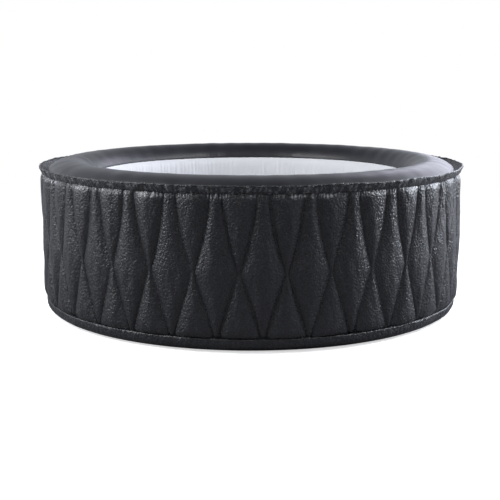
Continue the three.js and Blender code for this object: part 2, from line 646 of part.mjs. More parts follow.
function buildBlower() {
  const { x, height, front, rear, radius, wall } = BLOWER;
  const drum = revolveY(rod(radius, front, rear), 16);
  const room = revolveY(rod(radius - wall, front + wall, rear - wall), 16);
  const ductAt = AIR_LINE.x - x;
  const low = CHECK_VALVE.top + GAP - height;
  const duct = block([ductAt - 14, AIR_LINE.y - 14, low], [ductAt + 14, AIR_LINE.y + 14, 0]);
  const ductRoom = block([ductAt - 11, AIR_LINE.y - 11, low - 5], [ductAt + 11, AIR_LINE.y + 11, 0]);
  const inlet = revolveY(rod(18, front - 5, front + 10), 12);
  const shaftHole = revolveY(rod(5, rear - 10, rear + 5), 10);
  const housing = cut(join(drum, duct), room, ductRoom, inlet, shaftHole);
  part('blower_housing', housing, CASE_PLASTIC).position.set(x, 0, height);

  const hub = revolveY([
    [0, front + 8], [9, front + 8], [9, rear - 8], [4, rear - 8], [4, rear + 12], [0, rear + 12],
  ]);
  const disc = revolveY(rod(38, rear - 12, rear - 9), 20);
  const vanes = Array.from({ length: 6 }, (_, i) => (
    block([26, front + 9, -1], [37, rear - 11, 1]).rotateY((Math.PI * i) / 3)
  ));
  part('blower_fan', join(hub, disc, ...vanes), WHITE_PLASTIC).position.set(x, 0, height);

  const motor = [
    [0, rear + 15], [5, rear + 15], [5, rear + GAP], [28, rear + GAP], [28, rear + 35], [0, rear + 35],
  ];
  part('blower_motor', revolveY(motor), STEEL).position.set(x, 0, height);
}

function buildCheckValve() {
  const { bottom, step, seat, top, radius, bore } = CHECK_VALVE;
  const outline = [
    [HOSE.bore, bottom], [HOSE.radius, bottom], [HOSE.radius, step], [radius, step], [radius, top],
    [bore, top], [bore, seat + 3], [bore - 4, seat + 3], [bore - 4, seat], [bore, seat],
    [bore, step + 4], [HOSE.bore, step + 4],
  ];
  part('check_valve_body', revolve(outline, 12), WHITE_PLASTIC).position.set(AIR_LINE.x, AIR_LINE.y, 0);
  const flap = revolve(rod(FLAP.radius, seat - GAP - FLAP.thickness, seat - GAP), 12);
  part('check_flap', flap, RUBBER).position.set(AIR_LINE.x, AIR_LINE.y, 0);
}

function buildAirLine() {
  const turn = THREE.MathUtils.degToRad(AIR_INLET.angle);
  const outAt = (radius) => [radius * Math.cos(turn), radius * Math.sin(turn), AIR_INLET.height];
  const route = roundedPath([
    [AIR_LINE.x, AIR_LINE.y, CHECK_VALVE.bottom - GAP],
    [AIR_LINE.x, AIR_LINE.y, AIR_INLET.height + 10],
    [AIR_LINE.x - 10, 835, AIR_INLET.height],
    outAt(800),
    outAt(LINER_RADIUS + 1.5),
  ], 22);
  part('air_hose', sweep(route, 16, HOSE.radius, HOSE.bore), RUBBER);

  const elbow = roundedPath([
    [LINER_RADIUS + 0.5, 0, 0],
    [AIR_INLET.drop, 0, 0],
    [AIR_INLET.drop, 0, CHANNEL_TOP + GAP - AIR_INLET.height],
  ], 10);
  part('air_elbow', sweep(elbow, 7, AIR_INLET.radius, AIR_INLET.bore), VINYL_PALE, wallFrame(AIR_INLET));
}

// ---------------------------------------------------------------- fittings in the soft wall

// A screw cap with its seal, closing a flange: the seal lies on the flange, under the cap's head.
function buildCap(name, frame, plug, head, finish) {
  const sealBack = FLANGE_FRONT + GAP;
  const sealFront = sealBack + 1.4;
  part(`${name}_seal`, revolveX(sleeve(plug + 1.2, head, sealBack, sealFront)), RUBBER, frame);
  const under = sealFront + 0.3;
  const outline = [
    [0, FLANGE_FRONT - 8], [plug, FLANGE_FRONT - 8], [plug, under], [head, under],
    [head, CAP_FRONT - 1], [head - 1, CAP_FRONT], [0, CAP_FRONT],
  ];
  const coinSlot = block([CAP_FRONT - 1.8, -head * 0.7, -1.6], [CAP_FRONT + 5, head * 0.7, 1.6]);
  part(name, cut(revolveX(outline), coinSlot), finish, frame);
}

function buildInflationValve() {
  const { body, bore, seat, flange, foot } = VALVE;
  const frame = wallFrame(VALVE);
  const base = [
    [seat, foot], [body, foot], [body, FLANGE_BACK], [flange, FLANGE_BACK], [flange, FLANGE_FRONT],
    [bore, FLANGE_FRONT], [bore, foot + 6], [seat, foot + 6],
  ];
  part('valve_base', revolveX(base, 14), CASE_PLASTIC, frame);
  const stem = [
    [0, foot - 5], [seat + 3, foot - 5], [seat + 3, foot - GAP], [3.2, foot - GAP], [3.2, foot + 30],
    [13, foot + 30], [13, foot + 35], [0, foot + 35],
  ];
  part('valve_stem', revolveX(stem), WHITE_PLASTIC, frame);
  part('valve_spring', spring(11.2, 1, foot + 6 + GAP, foot + 30 - GAP, 4), STEEL, frame);
  buildCap('valve_cap', frame, bore - 0.6, 20, CASE_PLASTIC);
}

function buildReliefValve() {
  const { body, bore, seat, flange, foot } = RELIEF;
  const frame = wallFrame(RELIEF);
  const shell = [
    [seat, foot], [body, foot], [body, FLANGE_BACK], [flange, FLANGE_BACK], [flange, FLANGE_FRONT],
    [bore, FLANGE_FRONT], [bore, foot + 4], [seat, foot + 4],
  ];
  part('relief_body', revolveX(shell), CASE_PLASTIC, frame);
  const seatFace = foot + 4 + GAP;
  const poppet = [
    [0, seatFace], [seat + 2.5, seatFace], [seat + 2.5, seatFace + 3], [2.5, seatFace + 3],
    [2.5, foot + 37], [0, foot + 37],
  ];
  part('relief_poppet', revolveX(poppet, 12), WHITE_PLASTIC, frame);
  const coverBack = foot + 35;
  part('relief_spring', spring(6.2, 0.8, seatFace + 3 + GAP, coverBack - GAP, 4), STEEL, frame);
  const vents = [0, 1, 2, 3].map((i) => {
    const vent = revolveX(rod(1.8, coverBack - 5, coverBack + 15), 5).translate(0, 6.6, 0);
    return vent.rotateX((Math.PI * i) / 2);
  });
  const cover = cut(revolveX(sleeve(3.2, bore - GAP, coverBack, coverBack + 4)), ...vents);
  part('relief_cover', cover, CASE_PLASTIC, frame);
}

function buildDrain() {
  const { body, bore, flange } = DRAIN;
  const frame = wallFrame(DRAIN);
  const duct = [
    [bore, LINER_RADIUS + 1], [body, LINER_RADIUS + 1], [body, FLANGE_BACK], [flange, FLANGE_BACK],
    [flange, FLANGE_FRONT], [bore, FLANGE_FRONT],
  ];
  part('drain_duct', revolveX(duct), CASE_PLASTIC, frame);
  const face = LINER_FLAT - GAP;
  const plug = bore - 1;
  const stopper = [
    [0, face - 7], [16, face - 7], [20, face - 4], [20, face],
    [plug, face], [plug, face + 24], [0, face + 24],
  ];
  part('drain_plug', revolveX(stopper), WHITE_PLASTIC, frame);
  buildCap('drain_cap', frame, plug, 22, CASE_PLASTIC);
}

// ---------------------------------------------------------------- assembly

[
  buildGroundSheets, buildHem, buildSkin, buildCollar, buildRing, buildBladder, buildLiner,
  buildBubbleChannel, buildCase, buildCover, buildCoverScrews, buildDoor, buildKeypad,
  buildCircuitBoard, buildCableGland, buildFilter, buildCartridge, buildPump, buildHeater, buildPipes,
  buildBlower, buildCheckValve, buildAirLine, buildInflationValve, buildReliefValve, buildDrain,
].forEach((build) => build());

export default tub;
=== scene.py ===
import json
import math

import bmesh
import bpy
import numpy as np
from mathutils import Matrix, Vector

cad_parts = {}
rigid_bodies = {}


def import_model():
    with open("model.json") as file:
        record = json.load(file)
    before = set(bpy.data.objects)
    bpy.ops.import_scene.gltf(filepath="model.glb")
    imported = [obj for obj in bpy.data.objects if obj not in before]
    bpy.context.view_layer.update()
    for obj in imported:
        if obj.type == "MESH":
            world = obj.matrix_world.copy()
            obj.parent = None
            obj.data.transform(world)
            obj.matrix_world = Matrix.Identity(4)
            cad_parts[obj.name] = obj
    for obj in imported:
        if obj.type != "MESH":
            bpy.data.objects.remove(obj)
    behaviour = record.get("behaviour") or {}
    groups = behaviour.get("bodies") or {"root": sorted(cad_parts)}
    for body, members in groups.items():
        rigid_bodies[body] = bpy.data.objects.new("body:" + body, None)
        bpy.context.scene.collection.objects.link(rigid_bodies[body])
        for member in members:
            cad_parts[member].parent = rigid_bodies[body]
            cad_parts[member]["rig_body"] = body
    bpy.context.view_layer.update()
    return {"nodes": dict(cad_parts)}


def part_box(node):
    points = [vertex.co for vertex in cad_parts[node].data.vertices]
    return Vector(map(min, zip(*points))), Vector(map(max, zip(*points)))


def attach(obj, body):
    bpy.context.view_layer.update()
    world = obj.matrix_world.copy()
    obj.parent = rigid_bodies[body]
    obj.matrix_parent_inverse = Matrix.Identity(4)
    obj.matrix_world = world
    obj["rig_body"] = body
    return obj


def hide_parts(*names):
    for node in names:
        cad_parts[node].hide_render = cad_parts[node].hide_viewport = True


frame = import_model()
NODES = frame["nodes"]
SEED = 27

# ------------------------------------------------------------------ measures from the frame

CAD_FLATS = 36  # flats round the CAD's tub
TO_CORNER = 1 / math.cos(math.pi / CAD_FLATS)


def outer_radius(node):
    """Radius of a node that turns about the tub's axis, out to its corners."""
    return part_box(node)[1].x * TO_CORNER


def bottom(node):
    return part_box(node)[0].z


def top(node):
    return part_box(node)[1].z


SKIN_RADIUS = outer_radius("outer_skin")
SKIN_LOW, SKIN_TOP = bottom("outer_skin"), top("outer_skin")
RIM_RADIUS, RIM_TOP = outer_radius("collar_piping"), top("collar_piping")
RING_TUBE = (top("top_ring") - bottom("top_ring")) / 2
RING_HEIGHT = (top("top_ring") + bottom("top_ring")) / 2
RING_RADIUS = outer_radius("top_ring") - RING_TUBE
RING_FULLNESS = 0.28  # how much further the ring's shoulder swells towards the collar
LINER_TOP = top("liner_wall")
FLOOR_RADIUS = outer_radius("floor_sheet")
FLOOR_TOP = top("floor_sheet")
BASE_RADIUS = outer_radius("base_sheet")

# ------------------------------------------------------------------ quilting, in metres

PANELS = 33  # tall diamonds round the wall
PITCH = 2 * math.pi / PANELS
FIRST_PANEL = math.radians(2.79)  # centre of the first diamond, round from the front
WAIST = 0.328  # height at which neighbouring diamonds almost touch
WAIST_SHARE = 0.95  # share of the pitch that a diamond takes there
WAIST_ROUNDING = 0.009  # height over which the diamonds round at the waist
BULGE = 0.0215  # how far a wide panel stands out of its seams
BULGE_WIDTH = 0.07  # a panel this wide has two thirds of the full bulge
VALLEY_RADIUS = SKIN_RADIUS - 0.0105
PUCKERS = 430  # gathers round the upper seam
COLUMNS = 26  # mesh columns across a panel
SEAM_SHADOW = 0.006  # reach of the darker leather beside a seam
NO_SEAM = 0.02  # a seam distance that is well past the shadow
FINE_ROUND = 1440  # mesh columns round the collar, the welt and the hem


# ------------------------------------------------------------------ numbers and meshes

def smooth(x, low, high):
    t = np.clip((x - low) / (high - low), 0, 1)
    return t * t * (3 - 2 * t)


def wander(angle, seed, low, high, waves=24, height=None, rate=0.0):
    """Smooth seeded noise round the tub, about -1 to 1, that closes on itself."""
    rng = np.random.default_rng(SEED + seed)
    total = 0.0
    for _ in range(waves):
        turns, phase, climb = rng.integers(low, high), rng.uniform(0, 2 * math.pi), rng.normal(0, rate)
        wave = np.sin(turns * angle + phase + (climb * height if height is not None else 0.0))
        total = total + rng.uniform(0.5, 1.0) * wave
    return total / (0.42 * waves) ** 0.5 / 1.3


def polar(radius, angle, height):
    """Points from radius, angle round from the front (-Y) towards +X, and height."""
    return np.stack([radius * np.sin(angle), -radius * np.cos(angle), height], axis=-1)


def new_mesh(name, vertices, faces, is_hole=None):
    """A smooth mesh. is_hole takes the faces' centres, and says which are left out."""
    vertices, faces = np.asarray(vertices, float), np.asarray(faces)
    if is_hole is not None:
        faces = faces[~is_hole(vertices[faces].mean(1))]
    mesh = bpy.data.meshes.new(name)
    mesh.from_pydata(vertices.tolist(), [], faces.tolist())
    mesh.polygons.foreach_set("use_smooth", np.ones(len(mesh.polygons), bool))
    mesh.update()
    piece = bpy.data.objects.new(name, mesh)
    bpy.context.collection.objects.link(piece)
    return piece


def grid_faces(rows, columns, close_rows=False, close_columns=True):
    r = np.arange(rows if close_rows else rows - 1)
    c = np.arange(columns if close_columns else columns - 1)
    a, b = np.meshgrid(r, c, indexing="ij")
    a2, b2 = (a + 1) % rows, (b + 1) % columns
    faces = np.stack([a * columns + b, a * columns + b2, a2 * columns + b2, a2 * columns + b], -1)
    return faces.reshape(-1, 4)


def set_values(piece, name, values):
    layer = piece.data.attributes.new(name, "FLOAT", "POINT")
    layer.data.foreach_set("value", np.asarray(values, np.float32).ravel())


def turned(name, radius, height, angles, close=True, is_hole=None, flip=False):
    """A surface of revolution: radius and height are (rows, 1) or (rows, columns) arrays."""
    shape = np.broadcast_shapes(np.shape(radius), np.shape(height), (1, len(angles)))
    radius, angles, height = (np.broadcast_to(field, shape) for field in (radius, angles, height))
    points = polar(radius, angles, height)
    rows, columns = shape
    faces = grid_faces(rows, columns, close_rows=close)
    return new_mesh(name, points.reshape(-1, 3), faces[:, ::-1] if flip else faces, is_hole)


def around(columns):
    return np.linspace(0, 2 * math.pi, columns, endpoint=False)


def near_axis(place, reach):
    """A test for points within reach of a fitting's axis, on its side of the tub."""
    back = np.array(place.inverted())
    turn, shift = back[:3, :3], back[:3, 3]

    def test(points):
        local = points @ turn.T + shift
        return (local[:, 0] > 0) & (np.hypot(local[:, 1], local[:, 2]) < reach)
    return test


def any_of(*tests):
    return lambda points: np.logical_or.reduce([test(points) for test in tests])


# ------------------------------------------------------------------ materials

def tree_of(name):
    material = bpy.data.materials.new(name)
    material.use_nodes = True
    nodes, links = material.node_tree.nodes, material.node_tree.links
    return material, nodes, links, nodes["Principled BSDF"]


def textured(nodes, links, kind, scale, stretch=(1, 1, 1), **settings):
    place = nodes.new("ShaderNodeTexCoord")
    size = nodes.new("ShaderNodeMapping")
    size.inputs["Scale"].default_value = stretch
    texture = nodes.new(kind)
    texture.inputs["Scale"].default_value = scale
    for key, value in settings.items():
        if key in texture.inputs:
            texture.inputs[key].default_value = value
        else:
            setattr(texture, key, value)
    links.new(place.outputs["Object"], size.inputs["Vector"])
    links.new(size.outputs["Vector"], texture.inputs["Vector"])
    return texture


def remap(nodes, links, source, from_low, from_high, to_low, to_high):
    node = nodes.new("ShaderNodeMapRange")
    ends = {"From Min": from_low, "From Max": from_high, "To Min": to_low, "To Max": to_high}
    for socket, value in ends.items():
        node.inputs[socket].default_value = value
    links.new(source, node.inputs["Value"])
    return node.outputs["Result"]


def math_node(nodes, links, operation, a, b):
    node = nodes.new("ShaderNodeMath")
    node.operation = operation
    for socket, value in zip(node.inputs, (a, b)):
        if isinstance(value, (int, float)):
            socket.default_value = value
        else:
            links.new(value, socket)
    return node.outputs[0]


def tinted(nodes, links, factor, dark, light):
    mix = nodes.new("ShaderNodeMix")
    mix.data_type = "RGBA"
    mix.inputs["A"].default_value, mix.inputs["B"].default_value = (*dark, 1), (*light, 1)
    links.new(factor, mix.inputs["Factor"])
    return mix.outputs["Result"]


def bumped(nodes, links, height, distance, strength=1.0, under=None):
    bump = nodes.new("ShaderNodeBump")
    bump.inputs["Distance"].default_value = distance
    bump.inputs["Strength"].default_value = strength
    links.new(height, bump.inputs["Height"])
    if under is not None:
        links.new(under, bump.inputs["Normal"])
    return bump.outputs["Normal"]


def times(nodes, links, a, b):
    return math_node(nodes, links, "MULTIPLY", a, b)


def carried(nodes, name):
    """A value that the mesh carries at each vertex."""
    attribute = nodes.new("ShaderNodeAttribute")
    attribute.attribute_name = name
    return attribute.outputs["Fac"]


def leather_mottle_and_shade(nodes, links, crumpled):
    """How light the leather is: painted shade in its creases and along its seams, and darker by its mottle.
    """
    mottle = textured(nodes, links, "ShaderNodeTexNoise", 26.0, Detail=5.0, Roughness=0.6)
    # painted shade: darker where the crumple that bumps the leather is low, in its creases
    creased = remap(nodes, links, crumpled, 0.3, 0.7, 0.3, 1.0)
    mottled = remap(nodes, links, mottle.outputs["Fac"], 0.3, 0.7, 0.5, 1.0)
    # painted shade: darker, down to half, within a few millimetres of a seam
    seam_shade = remap(nodes, links, carried(nodes, "seam"), 0.0, SEAM_SHADOW, 0.5, 1.0)
    return times(nodes, links, times(nodes, links, creased, mottled), seam_shade)


def leather_colour(nodes, links, crumpled, gloss_and_glint, dark, light):
    """The leather's colour, with painted glints on the crests of the gathers and of the collar's crinkles.
    """
    # painted highlight: the marked crests lighten towards a pale grey, flecked by the crumple
    glint = times(nodes, links, gloss_and_glint, remap(nodes, links, crumpled, 0.42, 0.58, 0.15, 1.0))
    pale = nodes.new("ShaderNodeMix")
    pale.data_type = "RGBA"
    shade = leather_mottle_and_shade(nodes, links, crumpled)
    links.new(tinted(nodes, links, shade, dark, light), pale.inputs["A"])
    pale.inputs["B"].default_value = (*GLINT_COLOUR, 1)
    links.new(glint, pale.inputs["Factor"])
    return pale.outputs["Result"]


def leather_roughness(nodes, links, gloss_and_glint):
    """Unevenly worn, and shinier where the gathers pull it tight."""
    gloss = textured(nodes, links, "ShaderNodeTexNoise", 190.0, Detail=2.0)
    worn = remap(nodes, links, gloss.outputs["Fac"], 0.35, 0.65, 0.20, 0.44)
    return times(nodes, links, worn, remap(nodes, links, gloss_and_glint, 0.0, 0.6, 1.0, 0.45))


def leather_normal(nodes, links, crumpled):
    """Long folds, the crumple over them, and fine pebbles on top."""
    folds = textured(nodes, links, "ShaderNodeTexNoise", 60.0, stretch=(1, 1, 0.4), Detail=4.0)
    pebbles = textured(nodes, links, "ShaderNodeTexVoronoi", 310.0, feature="SMOOTH_F1")
    normal = bumped(nodes, links, folds.outputs["Fac"], 0.004, 0.35)
    normal = bumped(nodes, links, crumpled, CRUMPLE_DEPTH, 1.0, normal)
    return bumped(nodes, links, pebbles.outputs["Distance"], -0.0009, 0.5, normal)


def leather(name, dark, light):
    """Faux leather: crumpled and pebbled, with painted shade in its creases and along its seams, and painted
    glints on its gathers.
    """
    material, nodes, links, shader = tree_of(name)
    crumple = textured(nodes, links, "ShaderNodeTexNoise", CRUMPLE, Detail=2.0, Roughness=0.5)
    crumpled = crumple.outputs["Fac"]
    # the gathers' mask: shinier leather there, and a painted glint
    gloss_and_glint = carried(nodes, "gather")
    colour = leather_colour(nodes, links, crumpled, gloss_and_glint, dark, light)
    links.new(colour, shader.inputs["Base Color"])
    links.new(leather_roughness(nodes, links, gloss_and_glint), shader.inputs["Roughness"])
    links.new(leather_normal(nodes, links, crumpled), shader.inputs["Normal"])
    return material


def vinyl(name, dark, light, low_rough, high_rough, ripple=0.0015):
    """Welded PVC sheet: an even satin face with a fine print grain and soft, shallow ripples."""
    material, nodes, links, shader = tree_of(name)
    cloud = textured(nodes, links, "ShaderNodeTexNoise", 9.0, Detail=4.0)
    grain = textured(nodes, links, "ShaderNodeTexNoise", 1400.0, Detail=2.0)
    soft = textured(nodes, links, "ShaderNodeTexNoise", 22.0, stretch=(1, 1, 0.4), Detail=2.0)
    links.new(tinted(nodes, links, cloud.outputs["Fac"], dark, light), shader.inputs["Base Color"])
    rough = remap(nodes, links, cloud.outputs["Fac"], 0.3, 0.7, low_rough, high_rough)
    links.new(rough, shader.inputs["Roughness"])
    normal = bumped(nodes, links, soft.outputs["Fac"], ripple, 0.35)
    links.new(bumped(nodes, links, grain.outputs["Fac"], 0.0002, 0.4, normal), shader.inputs["Normal"])
    return material


def moulded(name, colour, rough, grain=0.00025, spread=0.12):
    """Moulded plastic with a fine spark-eroded grain and faint handling marks."""
    material, nodes, links, shader = tree_of(name)
    dark = tuple(c * (1 - spread) for c in colour)
    cloud = textured(nodes, links, "ShaderNodeTexNoise", 35.0, Detail=6.0)
    speck = textured(nodes, links, "ShaderNodeTexNoise", 1100.0, Detail=2.0)
    links.new(tinted(nodes, links, cloud.outputs["Fac"], dark, colour), shader.inputs["Base Color"])
    handled = remap(nodes, links, cloud.outputs["Fac"], 0.3, 0.7, rough - 0.06, rough + 0.08)
    links.new(handled, shader.inputs["Roughness"])
    links.new(bumped(nodes, links, speck.outputs["Fac"], grain, 0.6), shader.inputs["Normal"])
    return material


def brushed_steel(name):
    material, nodes, links, shader = tree_of(name)
    shader.inputs["Metallic"].default_value = 1.0
    lines = textured(nodes, links, "ShaderNodeTexNoise", 260.0, stretch=(1, 0.04, 1), Detail=3.0)
    colour = tinted(nodes, links, lines.outputs["Fac"], (0.42, 0.43, 0.45), (0.66, 0.67, 0.69))
    links.new(colour, shader.inputs["Base Color"])
    links.new(remap(nodes, links, lines.outputs["Fac"], 0.3, 0.7, 0.24, 0.4), shader.inputs["Roughness"])
    links.new(bumped(nodes, links, lines.outputs["Fac"], 0.0002, 0.4), shader.inputs["Normal"])
    return material


def printed_board(name):
    material, nodes, links, shader = tree_of(name)
    tracks = textured(nodes, links, "ShaderNodeTexBrick", 60.0)
    tracks.inputs["Color1"].default_value = (0.01, 0.09, 0.04, 1)
    tracks.inputs["Color2"].default_value = (0.012, 0.12, 0.05, 1)
    tracks.inputs["Mortar"].default_value = (0.05, 0.22, 0.09, 1)
    links.new(tracks.outputs["Color"], shader.inputs["Base Color"])
    shader.inputs["Roughness"].default_value = 0.38
    return material


CRUMPLE = 112.0  # scale of the leather's crumple
CRUMPLE_DEPTH = 0.0046
GLINT_COLOUR = (0.62, 0.63, 0.66)  # painted glint: the leather's colour on the crests of the gathers and the collar's crinkles
MATERIALS = {
    "skin": leather("quilted_leather", (0.010, 0.010, 0.012), (0.027, 0.028, 0.033)),
    "ring": vinyl("charcoal_vinyl", (0.007, 0.007, 0.010), (0.011, 0.011, 0.015), 0.36, 0.44),
    "liner": vinyl("pale_vinyl", (0.535, 0.54, 0.56), (0.63, 0.635, 0.655), 0.52, 0.66, 0.004),
    "bladder": vinyl("grey_film", (0.20, 0.20, 0.21), (0.27, 0.27, 0.28), 0.5, 0.65),
    "ground_sheet": vinyl("ground_vinyl", (0.10, 0.10, 0.11), (0.15, 0.15, 0.16), 0.6, 0.75, 0.003),
    "dark_plastic": moulded("case_plastic", (0.030, 0.031, 0.034), 0.5),
    "cover_plastic": moulded("cover_plastic", (0.040, 0.041, 0.046), 0.42, 0.0004),
    "white_plastic": moulded("white_plastic", (0.74, 0.74, 0.72), 0.36, spread=0.05),
    "key_plastic": moulded("key_plastic", (0.55, 0.56, 0.58), 0.34, spread=0.06),
    "display": moulded("display_glass", (0.012, 0.014, 0.018), 0.12, 0.0),
    "rubber": moulded("rubber", (0.014, 0.014, 0.015), 0.78),
    "steel": brushed_steel("brushed_steel"),
    "board": printed_board("printed_board"),
    "filter_media": moulded("filter_paper", (0.78, 0.79, 0.80), 0.88, 0.0006, 0.08),
}


def dress(piece, slot, *nodes, body="root"):
    """Gives a piece its material and its body, and hides the CAD nodes that it stands for."""
    piece.data.materials.append(MATERIALS[slot])
    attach(piece, body)
    if nodes:
        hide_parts(*nodes)
    return piece


# ------------------------------------------------------------------ fittings in the soft wall

def wall_place(node):
    """Local frame of a fitting in the wall: +X points straight out of the tub through the node's centre."""
    low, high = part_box(node)
    centre = (low + high) / 2
    turn = Matrix.Rotation(math.atan2(centre.y, centre.x), 4, "Z")
    return Matrix.Translation((0, 0, centre.z)) @ turn


def local_span(node, place):
    """Lowest and highest corner of a node in a local frame."""
    back = place.inverted()
    points = [back @ v.co for v in NODES[node].data.vertices]
    return Vector(map(min, zip(*points))), Vector(map(max, zip(*points)))


FITTINGS = {"valve_base": "valve_cap", "relief_body": "relief_cover", "drain_duct": "drain_cap"}
PLACES = {fitting: wall_place(inner) for fitting, inner in FITTINGS.items()}
FLANGES = {fitting: local_span(fitting, PLACES[fitting])[1].z for fitting in FITTINGS}
WALL_HOLES = [near_axis(PLACES[fitting], 0.62 * FLANGES[fitting]) for fitting in FITTINGS]


# ------------------------------------------------------------------ quilted wrap

def diamond_share(height):
    """Share of the pitch that a diamond takes at a height: widest at the waist, narrow at both seams."""
    away = height - WAIST
    rounded_away = np.hypot(away, WAIST_ROUNDING)
    up = rounded_away / (SKIN_TOP - WAIST)
    down = rounded_away / (WAIST - SKIN_LOW + 0.01)
    above = WAIST_SHARE - 1.15 * up + 0.45 * up ** 2
    below = WAIST_SHARE - 0.89 * down
    return np.where(away > 0, above, below)


def quilt_rows():
    """Heights of the mesh rows, closer together near both seams."""
    near_low, near_top = SKIN_LOW + 0.026, SKIN_TOP - 0.04
    low = SKIN_LOW + (near_low - SKIN_LOW) * np.linspace(0, 1, 7)[:-1] ** 1.3
    middle = np.linspace(near_low, near_top, 42)[:-1]
    high = SKIN_TOP - (SKIN_TOP - near_top) * np.linspace(1, 0, 14) ** 1.2
    return np.concatenate([low, middle, high])


def panel_spacing():
    """Where the mesh columns lie across a panel, closer together near its seams."""
    even = np.linspace(0, 1, COLUMNS, endpoint=False)
    return 0.55 * even + 0.45 * (0.5 - 0.5 * np.cos(math.pi * even))


def quilt_fields(heights):
    """Angle, bulge share, panel width and seam distance at each (row, panel, column)."""
    share = diamond_share(heights)[:, None, None]
    centre = FIRST_PANEL + PITCH * np.arange(PANELS)[None, :, None]
    along = panel_spacing()[None, None, :]
    diamond = centre + (along - 0.5) * share * PITCH
    between = centre + (0.5 * share + along * (1 - share)) * PITCH
    ones = np.ones_like(diamond)
    wide = np.concatenate([share * ones, (1 - share) * ones], -1) * PITCH * SKIN_RADIUS
    across = np.concatenate([along * ones, along * ones], -1)
    crown = (1 - np.abs(2 * across - 1) ** 2.0) ** 0.9
    seam = np.minimum(across, 1 - across) * wide
    angle = np.concatenate([diamond, between], -1)
    return [field.reshape(len(heights), -1) for field in (angle, crown, wide, seam)]


def press_flat(radius, angle, height):
    """Draws the skin in under the flanges of the fittings."""
    for fitting, place in PLACES.items():
        flange = FLANGES[fitting]
        aim = math.atan2(place[0][0], -place[1][0])
        centre = place.translation.z
        apart = np.hypot(np.angle(np.exp(1j * (angle - aim))) * SKIN_RADIUS, height - centre)
        under = SKIN_RADIUS - 0.0045
        pull = 1 - smooth(apart, flange + 0.003, flange + 0.032)
        radius = np.where(radius > under, radius + (under - radius) * pull, radius)
    return radius


def quilt_bulge(crown, wide, to_top, to_low):
    """How far the panels stand out: unevenly stuffed, less where narrow, and held in by both seams."""
    rng = np.random.default_rng(SEED)
    fullness = 1 + 0.13 * np.repeat(rng.normal(0, 1, PANELS * 2), COLUMNS)[None, :]
    held = (1 - 0.85 * np.exp(-to_top / 0.014)) * (1 - 0.7 * np.exp(-to_low / 0.012))
    return BULGE * fullness * (1 - np.exp(-wide / BULGE_WIDTH)) * crown * held


def quilt_gathers(angle, to_top, to_low):
    """Gathers at both seams, and a mask from 0 to 1 on the upper ones' crests, which makes the leather
    shinier and carries a painted glint.
    """
    waves = np.sin(PUCKERS * angle + 5 * wander(angle, 2, 20, 90))
    strength = 0.45 + 0.55 * wander(angle, 3, 15, 60)
    upper = 0.0042 * waves * np.clip(strength, 0.1, 1.2) * np.exp(-to_top / 0.018)
    lower = 0.0009 * np.sin(300 * angle + 4 * wander(angle, 4, 20, 80)) * np.exp(-to_low / 0.012)
    near_seam = np.exp(-((to_top - 0.012) / 0.009) ** 2)
    # painted glint mask, which also lowers the roughness: strongest on the gathers' crests just below the
    # upper seam
    gloss_and_glint = np.clip(0.2 + 0.9 * waves, 0, 1) * np.clip(1.3 * strength, 0, 1) * near_seam
    return upper + lower, gloss_and_glint


def quilt_surface():
    """Radius, angle, height, distance to a seam (which the leather turns into painted shade) and the
    gathers' gloss and glint mask at each vertex of the wrap's face.
    """
    heights = quilt_rows()
    angle, crown, wide, seam = quilt_fields(heights)
    height = heights[:, None] + np.zeros_like(angle)
    to_top, to_low = SKIN_TOP - height, height - SKIN_LOW
    bulge = quilt_bulge(crown, wide, to_top, to_low)
    creased = 0.0011 * wander(angle, 1, 40, 160, height=height, rate=45) * smooth(seam, 0, 0.02)
    puckered, gloss_and_glint = quilt_gathers(angle, to_top, to_low)
    valley = VALLEY_RADIUS - 0.0028 * np.exp(-to_low / 0.03) + 0.002 * np.exp(-to_top / 0.006)
    sway = 0.0012 * wander(angle, 5, 3, 18, height=height, rate=6)
    radius = press_flat(valley + bulge + creased + puckered + sway, angle, height)
    angle = angle + 0.0018 * wander(angle, 6, 12, 50, height=height, rate=14) / SKIN_RADIUS
    return radius, angle, height, seam, gloss_and_glint


def in_box_behind(node, margin):
    """A test for points inside a node's outline, as seen from behind the tub."""
    low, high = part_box(node)

    def test(points):
        across, tall = np.abs(points[:, 0]) < high.x + margin, points[:, 2]
        return across & (points[:, 1] > 0) & (tall > low.z - margin) & (tall < high.z + margin)
    return test


def build_quilt():
    radius, angle, height, seam, gloss_and_glint = quilt_surface()
    back_rows = np.linspace(SKIN_TOP - 0.0005, SKIN_LOW + 0.0005, 5)
    lining = back_rows[:, None] + np.zeros((len(back_rows), angle.shape[1]))
    inner = np.full_like(lining, SKIN_RADIUS - 0.0096)
    angles = np.vstack([angle, np.repeat(angle[-1:], len(back_rows) - 1, 0), angle[:1]])
    points = polar(np.vstack([radius, inner]), angles, np.vstack([height, lining]))
    rows, columns = points.shape[:2]
    faces = grid_faces(rows, columns, close_rows=True)
    holes = any_of(in_box_behind("unit_cover", 0.001), *WALL_HOLES)
    piece = new_mesh("quilted_wrap", points.reshape(-1, 3), faces, holes)
    # the seam distance gives the leather its painted shade, and the gather mask its painted glints and gloss
    set_values(piece, "seam", np.vstack([seam, np.full_like(lining, NO_SEAM)]))
    set_values(piece, "gather", np.vstack([gloss_and_glint, np.zeros_like(lining)]))
    dress(piece, "skin", "outer_skin")


# ------------------------------------------------------------------ collar, welt and hem

def rim_offset(angle, up):
    """How far the collar strays outwards and upwards, where up runs from its seam (0) to its rim (1)."""
    crinkle = wander(angle, 10, 40, 180, waves=40)
    out = 0.0022 * wander(angle, 11, 4, 26) * up + 0.0016 * crinkle * (0.35 + up)
    rise = (0.0016 * wander(angle, 12, 5, 30) + 0.0010 * wander(angle, 13, 60, 200, waves=30)) * up
    return out, rise


